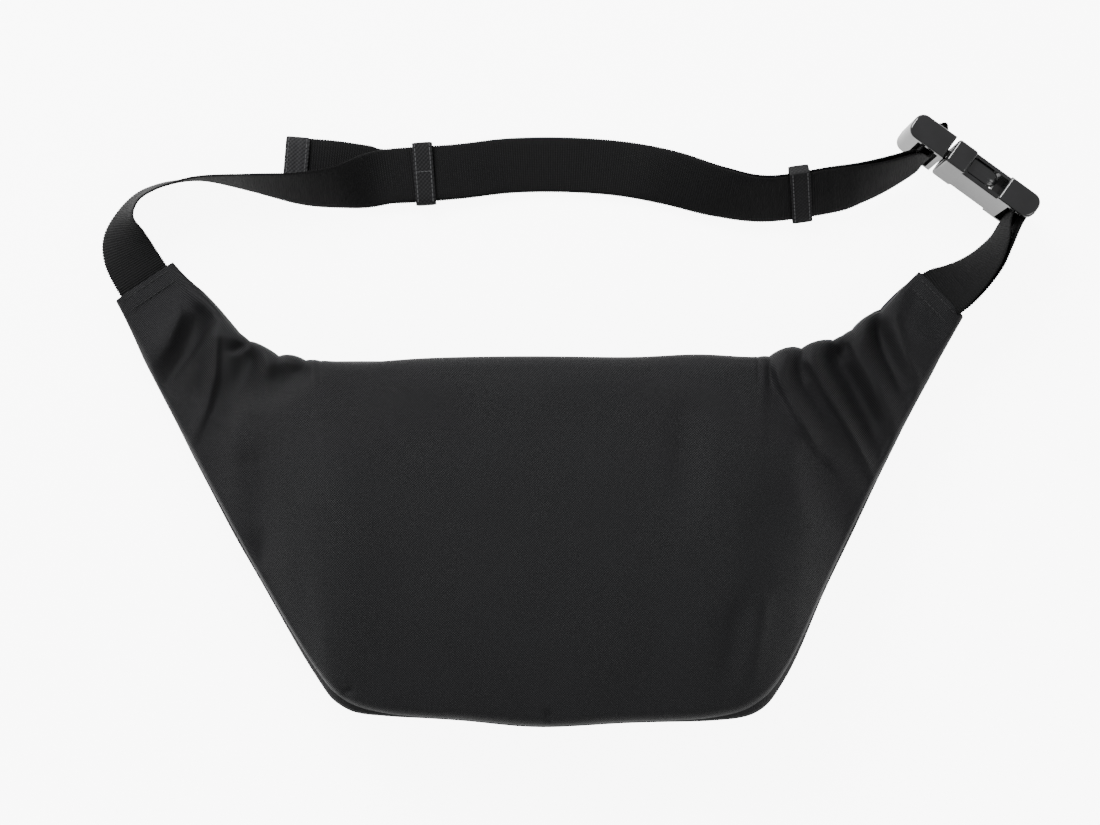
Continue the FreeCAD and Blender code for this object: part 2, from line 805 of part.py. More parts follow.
plug_frame = rounded_block(0, frame_length, 0)
front_slot = buckle_block(slide_bar_x, frame_length - 2.5, half_thick + 1, -slot_half, slot_half)
rear_room = buckle_block(slide_bar_x - slide_bar_radius - 4.4, slide_bar_x + 0.1,
                         half_thick + 1, -slot_half, slot_half)
slide_bar = Part.makeCylinder(slide_bar_radius, 2 * slot_half + 2,
                              Vector(slide_bar_x, slide_bar_y, -slot_half - 1), UP)
guide = buckle_block(frame_length - 1, window_end - 6, 2.6, -guide_half_width, guide_half_width)
root_x = frame_length + 3.0
plug = plug_frame.cut(front_slot).cut(rear_room).fuse([slide_bar, guide])
save("buckle_plug", placed(plug.removeSplitter()))


def make_arm(name, side):
    """Squeeze arm: a round root, a thin spring and a rounded pressing head."""
    head_end = window_end - 5.0
    head_start = window_start + 1.5
    outer = tunnel_half_width - 0.5
    outline = [Vector(root_x - 1.6, -arm_half_height, side * arm_root),
               Vector(root_x - 1.6, -arm_half_height, side * (arm_root + arm_width)),
               Vector(head_start, -arm_half_height, side * (arm_root + arm_width + 0.6)),
               Vector(head_start + 4, -arm_half_height, side * outer),
               Vector(head_end - 3, -arm_half_height, side * outer),
               Vector(head_end, -arm_half_height, side * (outer - 3)),
               Vector(head_end, -arm_half_height, side * (outer - arm_head_width + 2)),
               Vector(head_end - 2, -arm_half_height, side * (outer - arm_head_width)),
               Vector(head_start + 2, -arm_half_height, side * (outer - arm_head_width)),
               Vector(head_start - 2, -arm_half_height, side * arm_root)]
    arm = flat_solid(outline, Vector(0, 2 * arm_half_height, 0))
    save(name, placed(arm))


make_arm("latch_arm_upper", 1)
make_arm("latch_arm_lower", -1)
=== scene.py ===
# %% [markdown]
# # A nylon waist pack, from a CAD frame to a finished picture
# The CAD model gives the size and place of every piece and says what moves. This file
# keeps its hard pieces, such as the buckle, and gives them plastic and enamel finishes. It
# replaces its plain cloth pieces with cloth that has folds, gathers, ribs and stitches.

# %% Load the frame
import bpy
import json
import math
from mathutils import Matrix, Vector, noise


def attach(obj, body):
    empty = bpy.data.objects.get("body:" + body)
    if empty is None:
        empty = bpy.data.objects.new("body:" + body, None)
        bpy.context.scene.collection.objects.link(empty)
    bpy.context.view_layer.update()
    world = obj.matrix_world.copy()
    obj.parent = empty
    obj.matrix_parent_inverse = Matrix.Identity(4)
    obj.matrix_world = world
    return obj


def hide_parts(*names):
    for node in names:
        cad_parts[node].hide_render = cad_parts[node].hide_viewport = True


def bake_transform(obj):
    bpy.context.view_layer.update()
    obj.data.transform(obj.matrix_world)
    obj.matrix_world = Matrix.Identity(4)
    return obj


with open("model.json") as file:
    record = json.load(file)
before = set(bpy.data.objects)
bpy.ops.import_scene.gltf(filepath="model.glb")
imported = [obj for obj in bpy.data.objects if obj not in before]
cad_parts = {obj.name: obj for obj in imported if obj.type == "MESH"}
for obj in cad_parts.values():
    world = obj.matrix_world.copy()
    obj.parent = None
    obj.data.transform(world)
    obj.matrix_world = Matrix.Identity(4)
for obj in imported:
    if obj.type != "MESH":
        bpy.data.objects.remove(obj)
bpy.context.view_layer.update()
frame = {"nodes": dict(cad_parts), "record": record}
print("pieces from the frame:", len(frame["nodes"]))

# %% [markdown]
# ## Working habits
# Operators act on whatever is selected, so each step starts from an empty selection. All
# sizes are written in millimetres, as a bag maker would write them, and turned to metres
# where a point is laid down.

# %% Small helpers
MM = 0.001
UP = Vector((0, 0, 1))


def clear_selection():
    """Leave object mode with nothing selected."""
    if bpy.context.object and bpy.context.object.mode != "OBJECT":
        bpy.ops.object.mode_set(mode="OBJECT")
    bpy.ops.object.select_all(action="DESELECT")


def pick(piece):
    """Select one piece and make it the active one."""
    clear_selection()
    piece.select_set(True)
    bpy.context.view_layer.objects.active = piece


def faces_where(piece, test):
    """Edit mode with only the faces selected that pass a test."""
    pick(piece)
    bpy.ops.object.mode_set(mode="EDIT")
    bpy.ops.mesh.select_mode(type="FACE")
    bpy.ops.mesh.select_all(action="DESELECT")
    bpy.ops.object.mode_set(mode="OBJECT")
    for face in piece.data.polygons:
        face.select = test(face)
    bpy.ops.object.mode_set(mode="EDIT")


def smooth_shade(piece, angle=50):
    """Smooth shading that keeps edges sharper than the angle."""
    pick(piece)
    bpy.ops.object.shade_smooth_by_angle(angle=math.radians(angle))


def apply_all(piece):
    """Turn every modifier on a piece into mesh."""
    pick(piece)
    for modifier in list(piece.modifiers):
        bpy.ops.object.modifier_apply(modifier=modifier.name)


def set_finish(piece, finish):
    """Give a piece one material."""
    piece.data.materials.clear()
    piece.data.materials.append(finish)


# %% [markdown]
# ## The shape of the bag
# A bag like this is a row of cross sections between its upper edge and its lower edge,
# from one wing tip to the other. The same row of sections is in the CAD model. Here a
# smooth curve runs through them, so the cloth has no flats.

# %% Sections of the bag
TOP_EDGE, BOTTOM_EDGE = 91.0, -85.5
SHOULDER, CORNER, WING_REACH = 112.0, 46.0, 91.0
BOTTOM_REACH = {-1: 98.0, 1: 108.0}
BOTTOM_RISE = {-1: 8.0, 1: 5.0}
SIDE_BOW = {-1: -6.0, 1: 4.0}
WING_RISE = {-1: 25.0, 1: 21.0}
WING_TURN = {-1: 56.0, 1: 45.0}
TIP_WIDTH = {-1: 33.0, 1: 30.8}
BAG_DEPTH, TIP_DEPTH, TIP_LIFT, CROWN = 55.0, 6.6, 18.2, 8.0
TOP_RADIUS, LOW_RADIUS, BULGE = 40.0, 22.0, 3.0
CLOTH = 1.2
FULLNESS = [1, 1, 1, 0.96, 0.84, 0.62, 0.38, 0.17, 0]
LIFT = [0, 0, 0, 0, 0.03, 0.12, 0.32, 0.64, 1]


def heading(angle):
    """Unit vector on the table at an angle in degrees."""
    turn = math.radians(angle)
    return Vector((math.cos(turn), math.sin(turn), 0))


def bend(start, knee, end, part):
    """Point on a curve pulled towards a knee."""
    rest = 1 - part
    return start * rest ** 2 + knee * (2 * rest * part) + end * part ** 2


def wing_tip(side):
    """Middle of a wing tip and the direction in which its strap leaves."""
    reach = heading(WING_RISE[side]) * WING_REACH
    axis = heading(WING_TURN[side])
    middle = Vector((side * (SHOULDER + reach.x), TOP_EDGE + reach.y, 0))
    return middle, Vector((side * axis.x, axis.y, 0))


def half_edges(side):
    """Upper and lower edge points from the middle of the bag to a wing tip."""
    middle, axis = wing_tip(side)
    edge = Vector((axis.y, -axis.x, 0)) * side
    tip_low = middle + edge * (TIP_WIDTH[side] / 2)
    tip_high = middle - edge * (TIP_WIDTH[side] / 2)
    shoulder = Vector((side * SHOULDER, TOP_EDGE, 0))
    knee_high = tip_high - axis * ((tip_high.y - TOP_EDGE) / axis.y)
    lowest = Vector((0, BOTTOM_EDGE, 0))
    corner = Vector((side * BOTTOM_REACH[side], BOTTOM_EDGE + BOTTOM_RISE[side], 0))
    spreading = (corner - lowest).normalized()
    rising = (tip_low - corner).normalized()
    tangent = CORNER * math.tan(math.acos(spreading.dot(rising)) / 2)
    corner_start = corner - spreading * tangent
    corner_end = corner + rising * tangent
    knee_low = (corner_end + tip_low) / 2 - edge * SIDE_BOW[side]
    low = [lowest, (lowest + corner_start) / 2,
           corner_start, bend(corner_start, corner, corner_end, 0.5), corner_end]
    low += [bend(corner_end, knee_low, tip_low, part) for part in (0.25, 0.5, 0.75)]
    high = [Vector((side * SHOULDER * part, TOP_EDGE, 0)) for part in (0, 0.5, 0.9, 1)]
    high += [bend(shoulder, knee_high, tip_high, part) for part in (0.22, 0.44, 0.65, 0.84)]
    return high + [tip_high], low + [tip_low]


high_left, low_left = half_edges(-1)
high_right, low_right = half_edges(1)
HIGH = high_left[::-1] + high_right[1:]
LOW = low_left[::-1] + low_right[1:]
FULL = FULLNESS[::-1] + FULLNESS[1:]
RAISE = LIFT[::-1] + LIFT[1:]
LAST = len(HIGH) - 1
print("sections:", len(HIGH), "tips at", HIGH[0], HIGH[-1])


def through(row, place):
    """Smooth curve through a row of values, place counting along the row."""
    i = min(max(int(place), 0), len(row) - 2)
    t = place - i
    a, b, c, d = (row[min(max(k, 0), len(row) - 1)] for k in (i - 1, i, i + 1, i + 2))
    return 0.5 * (2 * b + (c - a) * t + (2 * a - 5 * b + 4 * c - d) * t ** 2
                  + (3 * b - a - 3 * c + d) * t ** 3)


class Section:
    """The bag cut at one place along its row of sections."""

    def __init__(self, place):
        self.upper = through(HIGH, place)
        lower = through(LOW, place)
        self.width = (lower - self.upper).length
        self.across = (lower - self.upper) / self.width
        fullness = min(max(through(FULL, place), 0), 1)
        self.depth = TIP_DEPTH + (BAG_DEPTH - TIP_DEPTH) * fullness
        self.front = TIP_LIFT * max(through(RAISE, place), 0)
        self.back = self.front + self.depth
        self.crown = CROWN * fullness ** 2
        share = self.depth / BAG_DEPTH
        self.top_radius = TOP_RADIUS * share
        self.low_radius = LOW_RADIUS * share
        self.bulge = BULGE * share
        self.wing = 1 - fullness

    def at(self, along, height):
        """Point at a distance in from the upper edge and a height above the table."""
        return self.upper + self.across * along + UP * height

    def top_arc(self, angle, inset=0.0):
        """Point on the round of the front under the upper edge."""
        turn = math.radians(angle)
        radius = self.top_radius - inset
        return self.at(self.top_radius - radius * math.sin(turn),
                       self.front + self.top_radius - radius * math.cos(turn))

    def low_arc(self, angle, inset=0.0):
        """Point on the round of the front under the lower edge."""
        turn = math.radians(angle)
        radius = self.low_radius - inset
        out = self.bulge * math.sin(turn) ** 2
        return self.at(self.width - self.low_radius + radius * math.sin(turn) + out,
                       self.front + self.low_radius - radius * math.cos(turn))


sections = {}


def section(place):
    """Section at a place, worked out once and kept."""
    key = round(place, 4)
    if key not in sections:
        sections[key] = Section(place)
    return sections[key]


# %% [markdown]
# ## Folds in the cloth
# A fold is a line on the cloth with a height and a width. Elastic in the top of each wing
# pulls the cloth into folds that run down and outwards from the gathered edge. Each fold
# here is a short line of points, a height (less than nothing for a valley) and a width to
# either side of it. A crease has one narrow side and one wide side.

# %% Fold lines, in millimetres on the back panel
FOLDS = [
    # left wing: points, height, width on each side
    ([(-181, 130), (-177, 112), (-182, 98), (-189, 90)], 2.4, 2.6, 8.0),
    ([(-171, 128), (-170, 112), (-174, 100)], -1.6, 6.0, 5.0),
    ([(-163, 113), (-170, 100), (-179, 82), (-183, 74)], -5.0, 8.0, 7.0),
    ([(-144, 110), (-159, 101), (-170, 88), (-180, 76)], 4.2, 9.0, 3.4),
    ([(-157, 98), (-158, 82), (-162, 68), (-168, 54)], 3.0, 2.2, 4.0),
    ([(-166, 86), (-169, 70)], -2.4, 5.0, 4.5),
    ([(-151, 98), (-151, 70), (-146, 45), (-142, 16)], 2.8, 6.0, 9.0),
    ([(-137, 101), (-149, 93)], -4.2, 1.6, 3.0),
    ([(-131, 97), (-143, 84), (-152, 70), (-156, 60)], -5.6, 7.0, 8.0),
    ([(-124, 96), (-134, 84)], 3.0, 5.0, 6.0),
    ([(-111, 91), (-122, 81), (-131, 74)], -4.6, 6.0, 8.0),
    ([(-141, 38), (-138, 6), (-132, -12)], -2.2, 10.0, 8.0),
    ([(-134, 5), (-139, -8)], -1.5, 4.0, 5.0),
    # right wing
    ([(111, 93), (116, 78), (126, 60), (136, 46)], 5.0, 11.0, 3.0),
    ([(120, 92), (126, 76), (136, 62)], -4.4, 4.0, 10.0),
    ([(137, 98), (151, 80), (160, 62), (165, 42)], -8.2, 7.5, 8.5),
    ([(130, 88), (145, 66), (155, 50), (163, 36)], 5.2, 9.0, 3.0),
    ([(152, 100), (162, 80), (170, 62)], 4.2, 6.0, 6.0),
    ([(164, 112), (170, 94), (178, 76)], -6.4, 6.5, 4.4),
    ([(148, 104), (150, 93)], -3.6, 2.0, 2.6),
    ([(143, 101), (146, 91)], -3.0, 1.8, 2.2),
    ([(173, 112), (177, 96), (184, 82)], 3.2, 3.0, 8.0),
    ([(132, 44), (141, 27), (151, 10)], -3.4, 12.0, 9.0),
    ([(125, 60), (123, 36), (127, 10)], 2.4, 9.0, 11.0),
    # main panel
    ([(70, 62), (69, 40), (70, 22)], -1.6, 8.0, 8.0),
    ([(82, 80), (86, 50), (92, 10), (97, -20)], 1.6, 14.0, 16.0),
    ([(107, -26), (104, -44), (101, -62)], 1.8, 5.0, 7.0),
    ([(95, -30), (92, -50), (89, -66)], -1.4, 8.0, 7.0),
    ([(-91, -68), (-97, -71)], -2.4, 1.8, 2.6),
    ([(-86, 60), (-92, 20), (-90, -20), (-82, -50)], 1.1, 20.0, 16.0),
    ([(-112, 60), (-118, 20), (-112, -20)], -1.2, 16.0, 14.0),
    ([(-60, 80), (-20, 74), (30, 78), (70, 74)], 1.0, 9.0, 14.0),
    ([(-40, 10), (0, 0), (40, 6)], -0.9, 34.0, 34.0),
    ([(4, -84), (4, -78)], -2.4, 1.6, 1.6),
]


def fold_reach(fold):
    """Box outside which a fold does nothing."""
    points, _, near, far = fold
    margin = 3 * max(near, far)
    xs = [point[0] for point in points]
    ys = [point[1] for point in points]
    return min(xs) - margin, max(xs) + margin, min(ys) - margin, max(ys) + margin


REACH = [fold_reach(fold) for fold in FOLDS]


def fold_height(x, y):
    """Height of all the folds at a point of the back, in millimetres."""
    height = 0.0
    for (points, rise, near, far), (x0, x1, y0, y1) in zip(FOLDS, REACH):
        if not (x0 < x < x1 and y0 < y < y1):
            continue
        best = None
        spans = len(points) - 1
        for k in range(spans):
            ax, ay = points[k]
            bx, by = points[k + 1]
            dx, dy = bx - ax, by - ay
            size = dx * dx + dy * dy
            t = min(max(((x - ax) * dx + (y - ay) * dy) / size, 0), 1)
            gap = math.hypot(x - ax - t * dx, y - ay - t * dy)
            if best is None or gap < best[0]:
                side = ((x - ax) * dy - (y - ay) * dx) / math.sqrt(size)
                best = (gap, side, (k + t) / spans)
        gap, side, part = best
        share = 0.5 + 0.5 * math.tanh(side / 1.6)
        width = near + (far - near) * share
        taper = math.sin(math.pi * min(0.22 + 0.70 * part, 0.97)) ** 0.7
        height += rise * taper * math.exp(-(gap / width) ** 2)
    return height


def ripple(x, y, size, seed):
    """Soft uneven noise between about -1 and 1."""
    return noise.noise(Vector((x / size, y / size, seed)))


# %% [markdown]
# ## Gathers
# Where elastic shortens the top edge of a wing, the edge is drawn in at a few pinches, and
# the cloth between two pinches bulges out and up. The longer the cloth between two
# pinches, the bigger its bulge. The edge of the main panel, which no elastic holds, sags.

# %% Gathered upper edge
PINCHES = [-182, -146.0, -140.8, -126.0, -113.0, -105.0,
           104.0, 110.5, 126.5, 143.0, 147.6, 152.6, 167.0, 187.0]
SAGS = [(-86, 1.6, 22), (77, -2.1, 24), (-5, -1.4, 60), (-158, -4.2, 17), (124, -3.4, 15),
        (170, 2.0, 10)]


def bulge_between(x):
    """How far the upper edge bulges out and up at x, less than nothing at a pinch."""
    for a, b in zip(PINCHES, PINCHES[1:]):
        if a <= x < b and b - a < 40:
            part = (x - a) / (b - a)
            size = min(2.3, 0.15 * (b - a)) * min(1.0, (b - a) / 12)
            ends = min((x - PINCHES[0]) / 16, (PINCHES[-1] - x) / 20, 1)
            arch = math.sin(math.pi * part)
            return ((size * arch ** 0.7 - 0.4) * max(ends, 0),
                    (size * arch ** 1.6 - 0.3) * max(ends, 0))
    return 0.0, 0.0


def sag(x):
    """How far the unheld upper edge hangs in, in millimetres."""
    return sum(depth * math.exp(-((x - middle) / width) ** 2) for middle, depth, width in SAGS)


def tip_gap(x, y):
    """Distance of a point in from the mouth of the nearer wing, in millimetres."""
    middle, axis = TIPS[-1 if x < 0 else 1]
    return (middle.x - x) * axis.x + (middle.y - y) * axis.y


TIPS = {side: wing_tip(side) for side in (-1, 1)}
HEM = 9.0


def step_up(value):
    """Smooth step from 0 to 1."""
    value = min(max(value, 0), 1)
    return value * value * (3 - 2 * value)


def back_point(place, part, below=0.0):
    """Point of the back panel; part runs from the upper edge to the lower edge."""
    cut = section(place)
    along = cut.width * part
    rise = cut.crown * math.sin(math.pi * min(max(part, 0), 1)) ** 0.7
    flat = cut.at(along, cut.back + rise + CLOTH)
    tip = tip_gap(flat.x, flat.y)
    free = step_up((tip - 8) / 26)
    puff = 3.4 * free * cut.wing ** 0.5 * math.sin(math.pi * min(max(part, 0), 1)) ** 0.8
    from_edge = min(along, cut.width - along)
    roll = 2.2 + 3.0 * step_up((tip - 6) / 20)
    turn_down = 0.0
    if from_edge < roll:
        turn_down = roll - math.sqrt(max(roll ** 2 - (roll - from_edge) ** 2, 0))
    ease = step_up(from_edge / 9)
    lift = fold_height(flat.x, flat.y) * (0.2 + 0.8 * ease) * free
    lift += 0.9 * ripple(flat.x, flat.y, 36, 0.4) * ease * (0.5 + cut.wing)
    lift += 0.30 * ripple(flat.x, flat.y, 11, 5.4) * ease * (0.3 + cut.wing)
    bulge, swell = bulge_between(flat.x)
    lift += 1.5 * swell * math.exp(-((along - 4) / 8.5) ** 2)
    out = bulge * math.exp(-along / 8) - sag(flat.x) * math.exp(-along / 30)
    out -= 1.3 * free * step_up((abs(place - LAST / 2) - 3.5) / 1.5) * part ** 3
    hem = 0.55 * step_up((HEM - tip) / 1.2 + 0.5) * ease
    spot = flat + UP * (lift + puff + hem - turn_down - below)
    spot -= cut.across * out
    return spot, (flat.x * MM, flat.y * MM)


print("fold at the left wing:", round(fold_height(-176, 88), 2), "mm")

# %% [markdown]
# ## Laying cloth
# Every cloth piece starts as a grid primitive. Its two directions run along the bag and
# across it, and each of its points is then laid on the shape, never below the table. The
# UV map is in metres of cloth, so that the weave has one size everywhere.

# %% Lay a grid on a shape
def lay_cloth(name, columns, rows, place_of, thickness=0.0, outward=-1.0):
    """Grid primitive laid by place_of(u, v), which gives a point in mm and its UV."""
    clear_selection()
    bpy.ops.mesh.primitive_grid_add(x_subdivisions=columns, y_subdivisions=rows, size=1)
    piece = bpy.context.object
    piece.name = name
    mesh = piece.data
    cloth_uv = []
    for point in mesh.vertices:
        spot, uv = place_of(point.co.x + 0.5, point.co.y + 0.5)
        spot.z = max(spot.z, 0.0)
        point.co = spot * MM
        cloth_uv.append(uv)
    layer = mesh.uv_layers.active.data
    for corner in mesh.loops:
        layer[corner.index].uv = cloth_uv[corner.vertex_index]
    if thickness:
        wall = piece.modifiers.new("wall", "SOLIDIFY")
        wall.thickness = thickness * MM
        wall.offset = outward
        wall.use_even_offset = False
        apply_all(piece)
    return piece


EDGE_SHARE = 0.48


def edge_dense(part):
    """Spread rows so that many of them lie close to both edges."""
    mixed = 0.5 - 0.5 * math.cos(math.pi * part)
    return part * (1 - EDGE_SHARE) + mixed * EDGE_SHARE


def along_bag(u):
    """Place along the row of sections, from one wing tip to the other."""
    return u * LAST


def turned_out(piece):
    """Make all faces of a closed piece look outwards."""
    pick(piece)
    bpy.ops.object.mode_set(mode="EDIT")
    bpy.ops.mesh.select_all(action="SELECT")
    bpy.ops.mesh.normals_make_consistent(inside=False)
    bpy.ops.object.mode_set(mode="OBJECT")


# %% [markdown]
# ## Back panel
# One piece of nylon from wing tip to wing tip. Its edges roll down into the seam.

# %% Back panel
back_panel = lay_cloth("back_panel_cloth", 420, 120,
                       lambda u, v: back_point(along_bag(u), edge_dense(1 - v)),
                       CLOTH)
turned_out(back_panel)
smooth_shade(back_panel, 60)
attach(back_panel, "bag")
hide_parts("back_panel")
print("back panel faces:", len(back_panel.data.polygons))


# %% [markdown]
# ## Foam and elastic under the back
# The foam follows the panel a little below it, so that no fold cuts into it. Each length of
# elastic lies just inside the gathered edge of a wing, and is rippled with it.

# %% Foam
def foam_point(u, v):
    """Foam under the middle eight sections, clear of both edges."""
    return back_point(4 + u * 8, 0.1 + 0.8 * (1 - v), CLOTH + 0.9)


foam = lay_cloth("back_foam_sheet", 90, 40, foam_point, 2.4)
turned_out(foam)
smooth_shade(foam, 60)
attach(foam, "bag")
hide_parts("back_foam")

# %% Elastic
def elastic_piece(side):
    """Length of elastic just inside the gathered edge of one wing."""
    start = 1.0 if side < 0 else LAST - 3.0

    def place_of(u, v):
        cut = section(start + 2.0 * u)
        return back_point(start + 2.0 * u, (5 + 8 * (1 - v)) / cut.width, CLOTH + 0.7)

    name = "left" if side < 0 else "right"
    piece = lay_cloth("elastic_" + name + "_gathered", 80, 8, place_of, 0.8)
    turned_out(piece)
    smooth_shade(piece, 60)
    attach(piece, "bag")
    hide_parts("elastic_" + name)
    return piece


elastics = [elastic_piece(-1), elastic_piece(1)]
print("elastics:", len(elastics))

# %% [markdown]
# ## Sides and front
# The other panels turn round the section in order: top gusset, the band between the zips,
# the pocket panel and the lower gusset. Beside a zip, the edges of its two panels step
# back to leave a mouth 8 mm wide. Each panel edge is tucked in a little, which leaves a
# fine seam line between panels.

# %% Panels round the sides and front
MAIN_ZIP, POCKET_ZIP, LOW_SEAM = 69.0, 34.0, 44.0
MAIN_HALF, POCKET_HALF, MOUTH = 96.0, 78.0, 4.0


def zip_step(cut, half_length):
    """Angle by which a panel edge stands back from a zip line."""
    past = abs(cut.upper.x) - half_length
    blend = min(max(past / 3.0 + 0.5, 0), 1)
    gap = MOUTH * (1 - blend) + 0.12 * blend
    return math.degrees(gap / cut.top_radius)


def edge_tuck(part, size, length):
    """Depth of the tucked edge of a panel at a part of its width."""
    from_edge = min(part, 1 - part) * length
    return size * max(1 - from_edge / size, 0) ** 2


def cloth_noise(place, turn, cut):
    """Soft unevenness of a side or front panel."""
    on_table = cut.front < 0.5 and turn < 0.2
    wave = 0.7 * ripple(place * 9, turn * 40, 11, 7.7)
    wave += 0.9 * cut.wing * ripple(place * 22, turn * 18, 8, 2.2)
    return max(wave, 0) if on_table else wave


def under_roll(cut):
    """Depth below the back at which a side panel starts, under the rolled edge."""
    return 1.0 + 2.6 * step_up((tip_gap(cut.upper.x, cut.upper.y) - 6) / 20)


def top_gusset_point(u, v):
    """Side panel under the upper edge, down to the main zip."""
    place = along_bag(u)
    cut = section(place)
    step = zip_step(cut, MAIN_HALF)
    arc = math.radians(90 - MAIN_ZIP - step) * cut.top_radius
    start = cut.back - under_roll(cut)
    wall = max(start - cut.front - cut.top_radius, 0.1)
    part = 1 - v
    run = part * (wall + arc)
    if run < wall:
        spot = cut.at(0, start - run)
        turn = 90.0
    else:
        turn = 90 - math.degrees((run - wall) / cut.top_radius)
        spot = cut.top_arc(turn)
    out = bulge_between(cut.upper.x)[0] * max(1 - run / 14.0, 0)
    hang = min(sag(cut.upper.x), 0.5) * max(1 - run / 30.0, 0)
    inward = edge_tuck(part, 1.6, wall + arc) - 0.5 * cloth_noise(place, 1.0, cut)
    spot += cut.across * (inward - out + hang + 0.5)
    return spot, (cut.upper.x * MM, run * MM)


def arc_panel(angle_from, angle_to, half_from, half_to):
    """Panel on the front top curve between two zip lines."""
    def place_of(u, v):
        place = along_bag(u)
        cut = section(place)
        start = angle_from - zip_step(cut, half_from)
        end = angle_to + zip_step(cut, half_to)
        part = 1 - v
        turn = start + (end - start) * part
        length = math.radians(start - end) * cut.top_radius
        depth = edge_tuck(part, 1.0, length) - 0.4 * cloth_noise(place, turn / 60, cut)
        return cut.top_arc(turn, depth), (cut.upper.x * MM, part * length * MM)
    return place_of


def pocket_panel_point(u, v):
    """Front panel from the pocket zip round to the low seam."""
    place = along_bag(u)
    cut = section(place)
    start = POCKET_ZIP - zip_step(cut, POCKET_HALF)
    first = math.radians(start) * cut.top_radius
    flat = cut.width - cut.top_radius - cut.low_radius
    last = math.radians(LOW_SEAM) * cut.low_radius
    part = 1 - v
    run = part * (first + flat + last)
    tuck = edge_tuck(part, 1.0, first + flat + last)
    uneven = 0.4 * cloth_noise(place, run / 60, cut)
    if run < first:
        turn = start - math.degrees(run / cut.top_radius)
        spot = cut.top_arc(turn, tuck)
    elif run < first + flat:
        spot = cut.at(cut.top_radius + run - first, cut.front + tuck)
    else:
        turn = math.degrees((run - first - flat) / cut.low_radius)
        spot = cut.low_arc(turn, tuck)
    if cut.front > 0.5:
        spot += UP * uneven
    return spot, (cut.upper.x * MM, run * MM)


def low_gusset_point(u, v):
    """Side panel from the low seam up to the back, with its loose rim."""
    place = along_bag(u)
    cut = section(place)
    first = math.radians(90 - LOW_SEAM) * cut.low_radius
    wall = max(cut.back - under_roll(cut) - cut.front - cut.low_radius, 0.1)
    part = 1 - v
    run = part * (first + wall)
    if run < first:
        turn = LOW_SEAM + math.degrees(run / cut.low_radius)
        spot = cut.low_arc(turn)
    else:
        left = wall - (run - first)
        climb = 1 - left / wall
        side = step_up((abs(place - LAST / 2) - 1.4) / 2.2)
        free = step_up((tip_gap(cut.upper.x, cut.upper.y) - 12) / 30)
        loose = 0.15 + side * (0.75 + 0.45 * ripple(place * 9, 0, 6, 3.3))
        piping = 2.3 * free * loose * math.exp(-((left - 3.0) / 1.9) ** 2)
        under = 3.4 * max(1 - left / 1.9, 0) ** 1.5
        hidden = (1 - side) * cut.bulge * 0.9 * climb
        out = cut.bulge * (1 + 0.35 * side * math.sin(math.pi * climb)) + piping - under - hidden
        spot = cut.at(cut.width + out, cut.front + cut.low_radius + run - first)
    tuck = edge_tuck(part, 1.2, first + wall) if part < 0.5 else 0
    uneven = 0.5 * cloth_noise(place, 0.9 + part, cut)
    spot += cut.across * (uneven * min(part * 5, (1 - part) * 5, 1) - tuck)
    return spot, (place * 0.03, run * MM)


PANELS = [
    ("top_gusset_cloth", "top_gusset", top_gusset_point, 26),
    ("upper_front_cloth", "upper_front_panel",
     arc_panel(MAIN_ZIP, POCKET_ZIP, MAIN_HALF, POCKET_HALF), 22),
    ("pocket_panel_cloth", "pocket_panel", pocket_panel_point, 70),
    ("lower_gusset_cloth", "lower_gusset", low_gusset_point, 34),
]
panels = []
for name, node, place_of, rows in PANELS:
    panel = lay_cloth(name, 340, rows, place_of, CLOTH, 1.0)
    turned_out(panel)
    smooth_shade(panel, 60)
    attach(panel, "bag")
    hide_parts(node)
    panels.append(panel)
    print(name, "faces:", len(panel.data.polygons))

# %% [markdown]
# ## Webbing
# Belt webbing is woven with ribs across it, and each rib ends in a small bump at the edge.
# Both are real shape here: the thickness and the width rise and fall along the strap. A
# grid is rolled into a flat tube, its seam is welded and its two ends are closed.

# %% Strap frames
WEB_WIDTH, WEB_THICK, RIB = 27.5, 1.6, 1.15
KEEPER_RUN = 16
buckle_turn = math.radians(-36)
buckle_lean = math.radians(6)
BUCKLE_ALONG = Vector((math.cos(buckle_turn), math.sin(buckle_turn), 0))
buckle_level = Vector((-BUCKLE_ALONG.y, BUCKLE_ALONG.x, 0))
BUCKLE_UP = UP * math.cos(buckle_lean) + buckle_level * math.sin(buckle_lean)
BUCKLE_ACROSS = buckle_level * math.cos(buckle_lean) - UP * math.sin(buckle_lean)
BUCKLE_HALF_WIDTH, BUCKLE_HALF_THICK = 18, 6.5
BUCKLE_START = Vector((181.0, 205.8, BUCKLE_HALF_WIDTH * math.cos(buckle_lean)
                       + BUCKLE_HALF_THICK * math.sin(buckle_lean) + 0.1))


def in_buckle(x, y, z):
    """Point given along, across and up the buckle."""
    return BUCKLE_START + BUCKLE_ALONG * x + BUCKLE_ACROSS * y + BUCKLE_UP * z


def lay_frames(points):
    """Frames (middle, across, face, pitch) from places, heights and rolls."""
    frames = []
    for i, (x, y, z, roll, pitch) in enumerate(points):
        before = points[max(i - 1, 0)]
        after = points[min(i + 1, len(points) - 1)]
        along = Vector((after[0] - before[0], after[1] - before[1], 0)).normalized()
        level = Vector((-along.y, along.x, 0))
        turn = math.radians(roll)
        wide = level * math.cos(turn) + UP * math.sin(turn)
        frames.append((Vector((x, y, z)), wide, along.cross(wide), pitch))
    return frames


def keeper_run(point, direction, roll, pitch):
    """Two places either side of a keeper, on one straight line."""
    return [(point[0] + direction.x * KEEPER_RUN * side,
             point[1] + direction.y * KEEPER_RUN * side,
             point[2], roll, pitch) for side in (-1, 1)]


def layer(frames, side):
    """Middle, across and face of one layer of a doubled strap."""
    return [(spot + face * (side * pitch / 2), wide, face * side)
            for spot, wide, face, pitch in frames]


